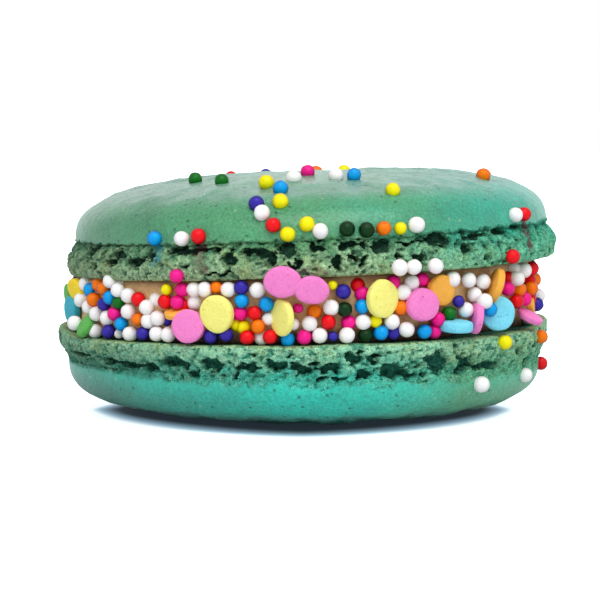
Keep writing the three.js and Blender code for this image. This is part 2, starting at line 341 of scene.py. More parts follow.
def newGroup(name, inputs, outputs):
    # a shader group with named sockets; gives its tree, what goes in and what comes out
    group = bpy.data.node_groups.new(name, "ShaderNodeTree")
    for label, kind, value in inputs:
        socket = group.interface.new_socket(name=label, in_out="INPUT", socket_type=kind)
        socket.default_value = value
    for label, kind in outputs:
        group.interface.new_socket(name=label, in_out="OUTPUT", socket_type=kind)
    given = group.nodes.new("NodeGroupInput").outputs
    result = group.nodes.new("NodeGroupOutput").inputs
    return group, given, result


def join(tree, source, socket):
    # links a socket, or sets a plain value
    if isinstance(source, bpy.types.NodeSocket):
        tree.links.new(source, socket)
    else:
        socket.default_value = source


def addNode(tree, kind, sockets, **settings):
    made = tree.nodes.new(kind)
    for label, value in settings.items():
        setattr(made, label, value)
    for label, source in sockets.items():
        join(tree, source, made.inputs[label])
    return made


def addMath(tree, operation, first, second):
    return addNode(tree, "ShaderNodeMath", {0: first, 1: second}, operation=operation).outputs[0]


def addTotal(tree, values):
    # sum of value * share
    first, *others = [addMath(tree, "MULTIPLY", value, share) for value, share in values]
    for other in others:
        first = addMath(tree, "ADD", first, other)
    return first


def addRange(tree, value, low, high, newLow, newHigh):
    # newLow + (newHigh - newLow) * (value - low) / (high - low), kept between the two
    sockets = {0: value, 1: low, 2: high, 3: newLow, 4: newHigh}
    return addNode(tree, "ShaderNodeMapRange", sockets, clamp=True).outputs[0]


def addMix(tree, share, first, second, blend="MIX"):
    sockets = {0: share, 6: first, 7: second}
    return addNode(tree, "ShaderNodeMix", sockets, data_type="RGBA", blend_type=blend).outputs[2]


def addNoise(tree, place, size, detail=2.0):
    # noise whose lumps are about a size across, in millimetres; 0 to 1
    sockets = {"Vector": place, "Scale": 1 / (size * mm), "Detail": detail, "Roughness": 0.6}
    return addNode(tree, "ShaderNodeTexNoise", sockets).outputs["Fac"]


def addNoiseRange(tree, place, size, detail, low, high, newLow, newHigh):
    return addRange(tree, addNoise(tree, place, size, detail), low, high, newLow, newHigh)


def addSpots(tree, place, spacing, inner, outer):
    # 1 inside scattered spots and 0 outside; spacing in millimetres, the radii in spacings
    cells = addNode(tree, "ShaderNodeTexVoronoi", {"Vector": place, "Scale": 1 / (spacing * mm)})
    return addRange(tree, cells.outputs["Distance"], inner, outer, 1.0, 0.0)


def linear(red, green, blue):
    # display colour, 0 to 255, to linear: ((c + 0.055) / 1.055)^2.4
    share = np.array([red, green, blue]) / 255
    low, high = share / 12.92, ((share + 0.055) / 1.055) ** 2.4
    return (*np.where(share <= 0.04045, low, high).tolist(), 1.0)


def newMaterial(name):
    # a material with its tree, its shader's inputs and object coordinates
    material = bpy.data.materials.new(name)
    material.use_nodes = True
    tree = material.node_tree
    shader = tree.nodes["Principled BSDF"].inputs
    place = tree.nodes.new("ShaderNodeTexCoord").outputs["Object"]
    return material, tree, shader, place


def addGroup(tree, group, sockets):
    made = tree.nodes.new("ShaderNodeGroup")
    made.node_tree = group
    for label, source in sockets.items():
        join(tree, source, made.inputs[label])
    return made.outputs


def addBump(tree, shader, height, depth):
    # depth is the height in millimetres that a value of 1 stands for
    sockets = {"Height": height, "Distance": depth * mm, "Strength": 1.0}
    join(tree, addNode(tree, "ShaderNodeBump", sockets).outputs["Normal"], shader["Normal"])


color, number, vector = "NodeSocketColor", "NodeSocketFloat", "NodeSocketVector"
plain = (0.5, 0.5, 0.5, 1.0)


# Noises of the materials: size in millimetres, detail, the two ends that count and what they
# become. Spots: spacing in millimetres, and the radii in spacings where they end
skinSet = {
    "wander": (14.0, 2.0, 0.3, 0.7, -4 * mm, 4 * mm),
    "leftEnds": (-22 * mm, -2 * mm),
    "rightEnds": (5 * mm, 17 * mm),
    "blotch": (3.2, 3.0, 0.3, 0.7, 0.88, 1.12),
    "speckle": (0.26, 4.0, 0.3, 0.7, 0.66, 1.34),
    "pores": (1.2, 0.08, 0.14),
    "poreShare": 0.7,
    "poreTint": (14, 66, 56),
    "specks": (1.7, 0.05, 0.12),
    "speckShare": 0.35,
    "speckTint": (190, 215, 170),
    "roughness": (0.9, 2.0, 0.3, 0.7, 0.36, 0.48),
    # size, detail and share of the noises that make up the height
    "heights": ((0.45, 2.0, 0.6), (0.16, 2.0, 0.4), (1.5, 3.0, 1.6)),
}


def makeSkinGroup():
    # baked skin: Left to Middle to Right with x, Left partly painted shade; fine speckle, dark pores
    # and pale specks
    group, given, result = newGroup(
        "baked skin",
        [("Left", color, plain), ("Middle", color, plain), ("Right", color, plain),
         ("Place", vector, (0.0, 0.0, 0.0))],
        [("Color", color), ("Roughness", number), ("Height", number)])
    place = given["Place"]
    across = addNode(group, "ShaderNodeSeparateXYZ", {0: place}).outputs["X"]
    wander = addNoiseRange(group, place, *skinSet["wander"])
    across = addMath(group, "ADD", across, wander)
    # Left holds painted shade as well as its own green, where less light falls
    leftShare = addRange(group, across, *skinSet["leftEnds"], 1.0, 0.0)
    rightShare = addRange(group, across, *skinSet["rightEnds"], 0.0, 1.0)
    base = addMix(group, rightShare, addMix(group, leftShare, given["Middle"], given["Left"]),
                  given["Right"])
    shade = addMath(group, "MULTIPLY", addNoiseRange(group, place, *skinSet["blotch"]),
                    addNoiseRange(group, place, *skinSet["speckle"]))
    gray = addNode(group, "ShaderNodeCombineXYZ", {0: shade, 1: shade, 2: shade}).outputs[0]
    base = addMix(group, 1.0, base, gray, "MULTIPLY")
    pores = addSpots(group, place, *skinSet["pores"])
    pores = addMath(group, "MULTIPLY", pores, skinSet["poreShare"])
    base = addMix(group, pores, base, linear(*skinSet["poreTint"]))
    specks = addSpots(group, place, *skinSet["specks"])
    specks = addMath(group, "MULTIPLY", specks, skinSet["speckShare"])
    join(group, addMix(group, specks, base, linear(*skinSet["speckTint"])), result["Color"])
    join(group, addNoiseRange(group, place, *skinSet["roughness"]), result["Roughness"])
    noises = [(addNoise(group, place, size, detail), share)
              for size, detail, share in skinSet["heights"]]
    join(group, addMath(group, "SUBTRACT", addTotal(group, noises), pores), result["Height"])
    return group


crumbSet = {
    "coarse": (0.6, 3.0, 0.38, 0.64, 0.0, 1.0),
    "grain": (0.26, 3.0, 0.36, 0.66, 0.0, 1.0),
    "olive": (2.2, 3.0, 0.5, 0.66, 0.0, 0.7),
    "wander": (1.2, 2.0, 0.3, 0.7, -0.3, 0.3),
    "speckle": (0.13, 2.0, 0.32, 0.68, 0.6, 1.5),
    # two ends of a value, and what they become
    "rise": (0.2, 1.0, 0.25, 0.9),
    # olive line along the face's edge: partly the crumb's own colour, partly painted highlight
    "rim": (0.0, 0.07, 0.75, 0.0),
    "pitShade": (0.35, 1.05, 0.0, 0.9),
    "torn": (0.0, 1.0, -0.4, 0.4),  # what the grain does to the hollows' edges
    "hollow": (0.35, 0.65, 0.0, 1.0),
    "pitShares": (0.7, 0.35, 0.3),  # of the painted shade in the pits and between the lumps, of coarse and of grain
    "litShare": 0.75,  # of Shade over Deep in the hollows, both painted shade, between the coarse lumps
    # x where the painted shade at the left is full and where it is gone
    "leftEnds": (-23 * mm, -8 * mm),
    "rightEnds": (6 * mm, 20 * mm),
    "holes": (0.45, 0.12, 0.36),
    "holeDepth": -0.8,
    "bumps": (0.3, 4.0),
}


def makeCrumbGroup():
    # open crumb: Light near the face and Skin near the seam, by Rise, olive in patches and along
    # the face's edge, there partly painted highlight; painted shade: Shade in the pits and
    # between the lumps, Deep in the hollows, and times Left at the left; all of it finely
    # speckled, and with its red times Right at the right
    group, given, result = newGroup(
        "open crumb",
        [("Light", color, plain), ("Skin", color, plain), ("Shade", color, plain),
         ("Deep", color, plain), ("Olive", color, plain), ("Pitshade", number, 0.0),
         ("Hollow", number, 0.0), ("Rise", number, 0.0), ("Left", number, 1.0),
         ("Right", number, 1.0), ("Place", vector, (0.0, 0.0, 0.0))],
        [("Color", color), ("Height", number)])
    place = given["Place"]
    coarse, grain, olive, wander, speckle = [
        addNoiseRange(group, place, *crumbSet[label])
        for label in ("coarse", "grain", "olive", "wander", "speckle")]
    base = addMix(group, olive, given["Light"], given["Olive"])
    rise = addRange(group, addMath(group, "ADD", given["Rise"], wander), *crumbSet["rise"])
    base = addMix(group, rise, base, given["Skin"])
    # olive along the face's edge, partly its own colour and partly painted highlight
    rim = addRange(group, given["Rise"], *crumbSet["rim"])
    base = addMix(group, rim, base, given["Olive"])
    # painted shade: Shade in the pits and between the lumps
    pitShade = addTotal(group, zip((given["Pitshade"], coarse, grain), crumbSet["pitShares"]))
    base = addMix(group, addRange(group, pitShade, *crumbSet["pitShade"]), base, given["Shade"])
    # painted shade in the hollows: Deep, lightened towards Shade between the coarse lumps
    edge = addMath(group, "ADD", given["Hollow"], addRange(group, grain, *crumbSet["torn"]))
    lit = addMath(group, "SUBTRACT", 1.0, coarse)
    lit = addMath(group, "MULTIPLY", lit, crumbSet["litShare"])
    inside = addMix(group, lit, given["Deep"], given["Shade"])
    base = addMix(group, addRange(group, edge, *crumbSet["hollow"]), base, inside)
    # painted shade: darker towards the left, times Left; its red times Right at the right
    across = addNode(group, "ShaderNodeSeparateXYZ", {0: place}).outputs["X"]
    other = addMath(group, "MULTIPLY", speckle,
                    addRange(group, across, *crumbSet["leftEnds"], given["Left"], 1.0))
    red = addMath(group, "MULTIPLY", other,
                  addRange(group, across, *crumbSet["rightEnds"], 1.0, given["Right"]))
    tint = addNode(group, "ShaderNodeCombineXYZ", {0: red, 1: other, 2: other}).outputs[0]
    join(group, addMix(group, 1.0, base, tint, "MULTIPLY"), result["Color"])
    holes = addSpots(group, place, *crumbSet["holes"])
    holes = addMath(group, "MULTIPLY", holes, crumbSet["holeDepth"])
    bumps = addNoise(group, place, *crumbSet["bumps"])
    join(group, addMath(group, "ADD", bumps, holes), result["Height"])
    return group


sugarSet = {
    "broad": (0.8, 2.0, 0.3, 0.7, 0.0, 0.25),
    "narrow": (0.2, 2.0, 0.4, 0.7, 0.0, 0.35),
    "spots": (0.42, 0.16, 0.3),
    "some": (0.7, 2.0, 0.5, 0.62, 0.0, 1.0),  # where there are spots
    "turning": (0.2, 0.95),  # how far it turns away where the painted rim shade starts and is full
    "bumps": (0.3, 2.0),
}


def makeSugarGroup():
    # pressed or polished sugar: Base with darker flecks and a slightly uneven tint
    group, given, result = newGroup(
        "sugar",
        [("Base", color, plain), ("Fleck", color, plain), ("Flecks", number, 0.3),
         ("Place", vector, (0.0, 0.0, 0.0))],
        [("Color", color), ("Height", number)])
    place = given["Place"]
    tint = addMath(group, "ADD", addNoiseRange(group, place, *sugarSet["broad"]),
                   addNoiseRange(group, place, *sugarSet["narrow"]))
    tint = addMath(group, "MULTIPLY", tint, given["Flecks"])
    base = addMix(group, tint, given["Base"], given["Fleck"])
    spots = addSpots(group, place, *sugarSet["spots"])
    some = addNoiseRange(group, place, *sugarSet["some"])
    spots = addMath(group, "MULTIPLY", addMath(group, "MULTIPLY", spots, some), given["Flecks"])
    join(group, addMix(group, spots, base, given["Fleck"]), result["Color"])
    height = addMath(group, "SUBTRACT", addNoise(group, place, *sugarSet["bumps"]), spots)
    join(group, height, result["Height"])
    return group


skinGroup, crumbGroup, sugarGroup = makeSkinGroup(), makeCrumbGroup(), makeSugarGroup()

# In both crusts, left is darker than middle partly as painted shade, where less light falls
# edge is the paler band over the seam, partly dust and partly painted light
# olive also lines the face's edge, partly as its own colour and partly as painted highlight
# shade and deep are painted shade of the crumb's light colour, deep in the hollows and on the hidden
# face
# the crumb's left factor is painted shade on its left
upperCrustSet = {
    "left": (58, 126, 88), "middle": (66, 148, 98), "right": (4, 156, 130),
    "light": (192, 224, 172), "shade": (34, 90, 60), "deep": (10, 62, 46), "olive": (176, 182, 112),
    "edge": (130, 214, 164), "edgeShare": 0.16, "crumbLeftShade": 0.7, "crumbRight": 0.44,
}
lowerCrustSet = {
    "left": (44, 134, 112), "middle": (24, 198, 177), "right": (84, 172, 128),
    "light": (176, 224, 178), "shade": (48, 140, 112), "deep": (12, 92, 76), "olive": (168, 190, 116),
    "edge": (40, 214, 186), "edgeShare": 0.3, "crumbLeftShade": 0.74, "crumbRight": 1.0,
}
# the grey colour of the flat top is painted sheen, where it reflects the bright back
crustSet = {"skinBump": 0.14, "sheenTopBump": 0.4, "crumbBump": 0.3, "crumbRoughness": 0.85,
            "coat": 0.33, "coatRoughness": 0.22, "sheenTop": (150, 174, 172), "sheenShare": 0.34,
            "sheenNoise": (1.3, 4.0, 0.35, 0.65, 0.6, 1.4), "blueDye": (8, 128, 146),
            "redDye": (104, 40, 58)}


def makeCrust(name, tints):
    # skin where the crumb attribute is 0, crumb where it is 1, and colour that has run over
    # both; the skin is paler near the seam, partly pale dust and partly painted light, and its
    # flat top is grey and wrinkled, the grey being painted sheen
    material, tree, shader, place = newMaterial(name)
    read = {label: addNode(tree, "ShaderNodeAttribute", {}, attribute_name=label).outputs["Fac"]
            for label in ("crumb", "rise", "hollow", "pitShade", "edge", "sheenTop", "blueDye", "redDye")}
    sockets = {label.capitalize(): linear(*tints[label]) for label in ("left", "middle", "right")}
    skin = addGroup(tree, skinGroup, {**sockets, "Place": place})
    sockets = {label.capitalize(): linear(*tints[label])
               for label in ("light", "shade", "deep", "olive")}
    sockets.update({label.capitalize(): read[label] for label in ("pitShade", "hollow", "rise")})
    crumb = addGroup(tree, crumbGroup, {
        **sockets, "Skin": skin["Color"], "Left": tints["crumbLeftShade"],
        "Right": tints["crumbRight"], "Place": place})
    # paler band over the seam: partly pale dust, partly painted light
    edge = addMath(tree, "MULTIPLY", read["edge"], tints["edgeShare"])
    base = addMix(tree, edge, skin["Color"], linear(*tints["edge"]))
    # painted grey sheen on the flat top
    sheenTop = addMath(tree, "MULTIPLY", read["sheenTop"], crustSet["sheenShare"])
    sheenTop = addMath(tree, "MULTIPLY", sheenTop, addNoiseRange(tree, place, *crustSet["sheenNoise"]))
    base = addMix(tree, sheenTop, base, linear(*crustSet["sheenTop"]))
    base = addMix(tree, read["crumb"], base, crumb["Color"])
    for label in ("blueDye", "redDye"):
        base = addMix(tree, read[label], base, linear(*crustSet[label]))
    join(tree, base, shader["Base Color"])
    rough = addRange(tree, read["crumb"], 0.0, 1.0, skin["Roughness"], crustSet["crumbRoughness"])
    join(tree, rough, shader["Roughness"])
    coat = addRange(tree, read["crumb"], 0.0, 1.0, crustSet["coat"], 0.0)
    join(tree, coat, shader["Coat Weight"])
    shader["Coat Roughness"].default_value = crustSet["coatRoughness"]
    skinBump = addRange(tree, read["sheenTop"], 0.0, 1.0, crustSet["skinBump"], crustSet["sheenTopBump"])
    skinHeight = addMath(tree, "MULTIPLY", skin["Height"], skinBump)
    crumbHeight = addMath(tree, "MULTIPLY", crumb["Height"], crustSet["crumbBump"])
    height = addRange(tree, read["crumb"], 0.0, 1.0, skinHeight, crumbHeight)
    addBump(tree, shader, height, 1.0)
    return material


creamLook = {
    "tint": (240, 198, 140),
    "blotchTint": (188, 142, 90),
    "blotch": (1.6, 3.0, 0.35, 0.7, 0.0, 0.8),
    # painted shade: two shares of the height, how much darker there, and the colour
    "darker": ((0.06, 0.3, 1.0, 0.0, (84, 62, 44)), (0.88, 0.98, 0.0, 0.7, (120, 80, 50))),
    "roughness": 0.55,
    "grain": (0.5, 3.0),
    "bump": 0.2,
}


def makeCream():
    # pinkish beige, brown in blotches, and painted shade low down and just under the upper shell
    material, tree, shader, place = newMaterial("cream")
    share = addNode(tree, "ShaderNodeAttribute", {}, attribute_name="along").outputs["Fac"]
    base = addMix(tree, addNoiseRange(tree, place, *creamLook["blotch"]),
                  linear(*creamLook["tint"]), linear(*creamLook["blotchTint"]))
    for low, high, atLow, atHigh, tint in creamLook["darker"]:
        base = addMix(tree, addRange(tree, share, low, high, atLow, atHigh), base, linear(*tint))
    join(tree, base, shader["Base Color"])
    shader["Roughness"].default_value = creamLook["roughness"]
    addBump(tree, shader, addNoise(tree, place, *creamLook["grain"]), creamLook["bump"])
    return material


def makeSugar(name, tint, fleckAndRimShade, look):
    # the fleck colour also darkens it where it turns away: painted shade at its edge
    material, tree, shader, place = newMaterial(name)
    sugar = addGroup(tree, sugarGroup, {
        "Base": linear(*tint), "Fleck": linear(*fleckAndRimShade), "Flecks": look["flecks"], "Place": place})
    facing = addNode(tree, "ShaderNodeLayerWeight", {"Blend": 0.5}).outputs["Facing"]
    away = addRange(tree, facing, *sugarSet["turning"], 0.0, look["rim"])
    join(tree, addMix(tree, away, sugar["Color"], linear(*fleckAndRimShade)), shader["Base Color"])
    shader["Roughness"].default_value = look["roughness"]
    shader["Specular IOR Level"].default_value = look["shine"]
    addBump(tree, shader, sugar["Height"], look["bump"])
    return material


print("materials made")

# Shells

# Ends are where a smooth step starts and is whole; sizes are those of noises
shellSet = {
    "around": 1200,
    "faceRadii": (8, 17, 22.8),  # of the rings in the flat face
    "faceEdge": 23,
    "faceHeight": 0.01,  # a ring lower than this lies in the face
    "offFaceEnds": (20, 23),  # radius
    "footRows": 46,
    "footEnd": 0.06,  # of the last row, under the seam
    "seamRings": ((-0.64, -0.03), (-0.26, 0.0)),  # share of the seam's depth, and height
    "domeRows": 21,
    "domeFirst": 0.4,  # row that the dome starts with
    "domeSpacing": 1.35,  # exponent that sets the rows closer near the edge
    "edgeStep": 0.12,  # between the rows just over the seam
    "edgeHeight": 1.1,
    "lump": 1.0,  # size of the crumb's large lumps, then of its grains
    "grain": 0.4,
    "lumpHeight": 0.4,
    "grainHeight": 0.24,
    "ballShare": 1.15,  # a ball's radii to a cell
    "ballLevel": 0.6,  # share of a ball's height that lies at the foot's own radius
    "footWave": 0.7,
    "footWaveSize": 3.5,
    "faceRelief": 0.3,  # share of the relief at the face
    "faceReliefEnds": (0.15, 1.0),
    "seamCalm": 0.6,  # share of the relief lost over the seam
    "seamCalmEnds": (-0.4, 0.6),
    "straggle": 1.6,  # of the crumb up the cap
    "straggleSize": 0.9,
    "leftCalm": 0.85,  # share of it lost at the left
    "leftCalmEnds": (8, 20),
    "crumbFrom": -0.06,  # over the seam, where the crumb starts to thin out and is gone
    "crumbTo": 0.12,
    "crumbFade": 0.3,  # farther with crumbOver
    "crumbTop": 2,  # over the seam, where it is cut off
    "rimRound": 0.25,
    "rimHeight": 0.25,  # of the rounding between face and foot
    "rimWave": 0.25,
    "rimWaveSize": 4.5,
    "rimEnds": (0.3, 1.4),
    "rimCurl": 0.55,
    "curlEnds": (22.3, 24.3),  # x to either side
    "curlBack": 6,  # y behind which the rim stays straight
    "seamWave": 0.5,
    "seamWaveSize": 1.3,
    "seamUnder": 1.2,  # how far down that wave reaches
    "seamOver": (0.1, 1.4),  # where it starts to fade and is gone
    "hollowDepth": 1.15,
    "hollowLeast": 0.5,  # share of the depth where the noise is 0
    "hollowDepthSize": 0.8,
    "hollowSize": 0.75,  # of the noise that tears the hollows' edges
    "hollowLevel": 0.78,
    "hollowEdge": 0.14,  # how far over that level they are whole
    "hollowNear": 0.65,
    "hollowNearEnds": (0.4, 1.6),  # distance from the middle, in half sizes
    "hollowRise": 0.1,
    "hollowRiseEnds": (0.15, 0.6),  # share of the foot's height
    "hollowTopEnds": (0.0, 0.8),  # over the seam, where hollows stop
    "hollowSpan": 1.0,  # of the sizes listed
    "hollowStray": 1.1,  # how far noise pushes their outlines about
    "hollowStraySize": 0.6,
    "seenDepth": 0.4,  # under the foot's radius, where the pixels of the hollows lie
    "leastFacing": 0.4,  # hollows are widened by 1 / cos(azimuth), but not over 1 / this
    "pitSize": 0.36,
    "pitDepth": 0.24,
    "pitEnds": (0.68, 0.86),
    "shadeLevel": 1.1,  # of the crumb's shade, less these shares of lumps and grains
    "shadeLumps": 0.6,
    "shadeGrains": 0.5,
    "capWave": 0.26,
    "capWaveSize": 8.0,
    "sheenTopEnds": (19.5, 22.2),  # radius where the painted grey sheen of the top starts to fade and is gone
    "crinkle": 0.8,  # of the flat top, in soft wrinkles
    "crinkleSize": 2.2,
    "crinkleEnds": (2, 7),
    "edgeStray": 1.5,  # of the paler band over the seam, partly pale dust and partly painted light
    "edgeStraySize": 3.0,
    "edgeEnds": (0.2, 2.6),
    "pixelsPerMm": 10.9,  # of the picture, on the feet in front
}

# Hollows of the feet in front: x and y of the middle, half the width, half the height, in pixels
upperHollows = [
    (77, 258, 3, 2.5), (90.5, 254.5, 5.5, 7.5), (97.5, 267, 3, 7), (106.5, 256, 2, 5.5),
    (104.5, 274.5, 2.5, 2), (120, 256, 7, 4.5), (115.5, 263, 5.5, 3), (139, 262, 9.5, 4),
    (154, 257, 3.5, 3),
    (187, 252, 20, 3.5), (186.5, 268, 3, 2.5), (216, 248.5, 4, 2.5), (229.5, 259.5, 7.5, 7),
    (254.5, 252.5, 13, 4), (272, 259.5, 5, 5), (289, 251, 10, 6), (298, 265, 8, 6),
    (318, 247.5, 6, 3), (222, 274, 13, 1.5), (336, 262, 4, 6), (353, 246, 12, 3),
    (367, 245, 4, 4), (350, 257.5, 4.5, 2.5), (363, 261, 5, 4), (383.5, 247.5, 9.5, 7.5),
    (396.5, 257.5, 2.5, 2.5), (408, 242, 8, 2), (418, 259.5, 7, 6), (440, 241, 11, 6),
    (466, 235, 3, 4), (465, 249, 5, 5), (480, 236, 9, 2.5), (484.5, 256.5, 3, 3.5),
    (474, 264, 4, 1), (506, 231, 7.5, 4), (521, 226, 5.5, 3), (541, 228, 5, 3), (503, 266, 5, 1),
]
lowerHollows = [
    (82, 356, 12, 3), (110, 363, 9, 3.5), (128, 367, 11, 4), (150.5, 368.5, 8, 5),
    (174, 363, 13, 7), (212, 364.5, 9, 7), (189, 374.5, 6, 3.5), (233, 377, 4, 3.5),
    (247, 368, 12, 5), (275, 365.5, 10, 7), (300, 369, 10, 5), (314, 362, 4, 2),
    (323, 379, 4, 2.5), (254.5, 354, 2, 2), (291, 356.5, 2, 2), (330, 368, 11, 5),
    (340, 378, 8, 2), (352, 358, 8, 5), (374, 357.5, 6, 3), (365, 373.5, 8, 5),
    (396, 370, 12, 6), (411.5, 375, 5, 2.5), (435, 359, 11, 9), (425, 372.5, 4, 3),
    (439.5, 371, 3, 3), (465, 361, 7.5, 8), (487.5, 362, 16, 4), (527, 356.5, 5, 4.5),
    (518, 349, 3, 3), (529, 342, 3, 2), (452, 343, 4, 2), (357.5, 350, 3, 1.5),
    (541, 349.5, 2.5, 2),
]
hiddenHollowSet = {
    "count": 62,
    "from": 76,
    "to": 284,
    "halfWidth": (0.3, 1.15),
    "rise": (0.3, 0.98),  # share of the foot's height
    "halfHeight": (0.2, 0.6),
}

# Colour that has run down from a pearl: start and end in pixels, half the width in
# millimetres and how strong it is
dyeRuns = {
    "blueDye": [((155.5, 243), (156, 252), 0.46, 0.9), ((155, 255), (152.5, 264), 0.2, 0.5)],
    "redDye": [((199, 240), (201, 267), 0.5, 0.75), ((525, 221), (531, 247), 0.18, 0.8)],
}
dyeSet = {
    "ragged": 1.3,
    "raggedSize": 0.7,
    "patchSize": 0.6,
    "patchLeast": 0.4,
    "patchEnds": (0.3, 0.65),
    "fade": (0.6, 1.5),  # in half widths
    "frontOnly": -5,  # y behind which there is none
}


def hollowsOf(shell, inFront):
    # azimuth, height, half the width and half the height of each, in millimetres: those in
    # front from the picture, those behind drawn one to a share of the way round
    inFront = np.array(inFront, float)
    radius = wholeSet["footRadius"] - shellSet["seenDepth"]
    places = toShell(onCylinder(inFront[:, :2], radius, shell["shift"]), shell)
    azimuth = azimuthOf(places)
    scale = shellSet["hollowSpan"] / shellSet["pixelsPerMm"]
    facing = np.maximum(np.cos(np.radians(azimuth)), shellSet["leastFacing"])
    halfWidth = inFront[:, 2] * scale / facing
    halfHeight = inFront[:, 3] * scale
    hollows = list(zip(azimuth, places[:, 2], halfWidth, halfHeight))
    draw = seededDraws(shell["seed"] * 77)
    hidden = hiddenHollowSet
    span = (hidden["to"] - hidden["from"]) / hidden["count"]
    for k in range(hidden["count"]):
        width = draw(*hidden["halfWidth"])
        hollows.append((hidden["from"] + span * (k + draw()),
                        shell["footHeight"] * draw(*hidden["rise"]), width,
                        min(width, draw(*hidden["halfHeight"]))))
    return hollows


def hollowShare(points, shell, hollows):
    # 1 where noise + hollowNear * nearness to a hollow + hollowRise * rise up the foot is well
    # over the level, 0 where it is under; noise also moves the outlines sideways and up
    height, azimuth = points[..., 2], azimuthOf(points)
    stray = [shellSet["hollowStray"] * wobble(points, shellSet["hollowStraySize"], shell["seed"] + k)
             for k in (5, 9)]
    near = np.zeros(points.shape[:-1])
    for place, up, halfWidth, halfHeight in hollows:
        across = np.radians((azimuth - place + 180) % 360 - 180) * wholeSet["footRadius"]
        distance = np.hypot((across + stray[0]) / halfWidth, (height - up + stray[1]) / halfHeight)
        near = np.maximum(near, 1 - smoothStep(distance, *shellSet["hollowNearEnds"]))
    noise = layeredNoise(points, shellSet["hollowSize"], shell["seed"] + 3)
    rise = smoothStep(height / shell["footHeight"], *shellSet["hollowRiseEnds"])
    total = noise + shellSet["hollowNear"] * near + shellSet["hollowRise"] * rise
    return smoothStep(total - shellSet["hollowLevel"], 0.0, shellSet["hollowEdge"])


def shellRings(shell):
    # radius and height of the rings from the flat face over the foot and the edge of the cap
    # to the top; close rows just over the seam, where lift = arcsin((height / dome height)^(n/2))
    height = np.linspace(0, shell["footHeight"] - shellSet["footEnd"], shellSet["footRows"])
    rounding = shellSet["rimRound"] * np.maximum(1 - height / shellSet["rimHeight"], 0) ** 2
    foot = np.stack([footRadiusAt(height, shell) - rounding, height], -1)
    face = np.array([[radius, 0] for radius in shellSet["faceRadii"]])
    edge = np.array(shellSet["seamRings"]) * [shell["seamDepth"], 1]
    edge += [wholeSet["capRadius"], shell["footHeight"]]
    low = np.arange(shellSet["edgeStep"], shellSet["edgeHeight"], shellSet["edgeStep"])
    low = np.degrees(np.arcsin((low / shell["domeHeight"]) ** (shell["domePower"] / 2)))
    rows = shellSet["domeRows"]
    lift = 90 * (np.arange(shellSet["domeFirst"], rows) / rows) ** shellSet["domeSpacing"]
    lift = np.concatenate([low, lift[lift > low[-1] + 1]])
    dome = np.stack(domePoint(lift, shell), -1)
    return np.concatenate([face, foot, edge, dome])


def dyeShares(points):
    # most on each run, less with the distance from it in the upright plane across the view;
    # ragged, patchy, and in front only
    ragged = dyeSet["ragged"] * wobble(points, dyeSet["raggedSize"], 91)
    least = dyeSet["patchLeast"]
    patchy = smoothStep(layeredNoise(points, dyeSet["patchSize"], 95), *dyeSet["patchEnds"])
    patchy = least + (1 - least) * patchy
    seen = points[:, [0, 2]]
    shares = {}
    for label, runs in dyeRuns.items():
        share = np.zeros(len(points))
        for start, end, width, strength in runs:
            ends = onCylinder([start, end], wholeSet["footRadius"], upperSet["shift"])
            start, along = ends[0, [0, 2]], ends[1, [0, 2]] - ends[0, [0, 2]]
            reach = np.clip((seen - start) @ along / (along @ along), 0, 1)
            gap = np.linalg.norm(seen - start - reach[:, None] * along, axis=1) + ragged
            inner, outer = [width * end for end in dyeSet["fade"]]
            share = np.maximum(share, strength * (1 - smoothStep(gap, inner, outer)))
        shares[label] = share * patchy * (points[:, 1] < dyeSet["frontOnly"])
    return shares


def ballCaps(points, size, seed):
    # sqrt(1 - (distance to the nearest scattered point / a ball's radius)^2)
    distance = shellSet["ballShare"] * cellDistance(points, size, seed)
    return np.sqrt(np.clip(1 - distance**2, 0, 1))


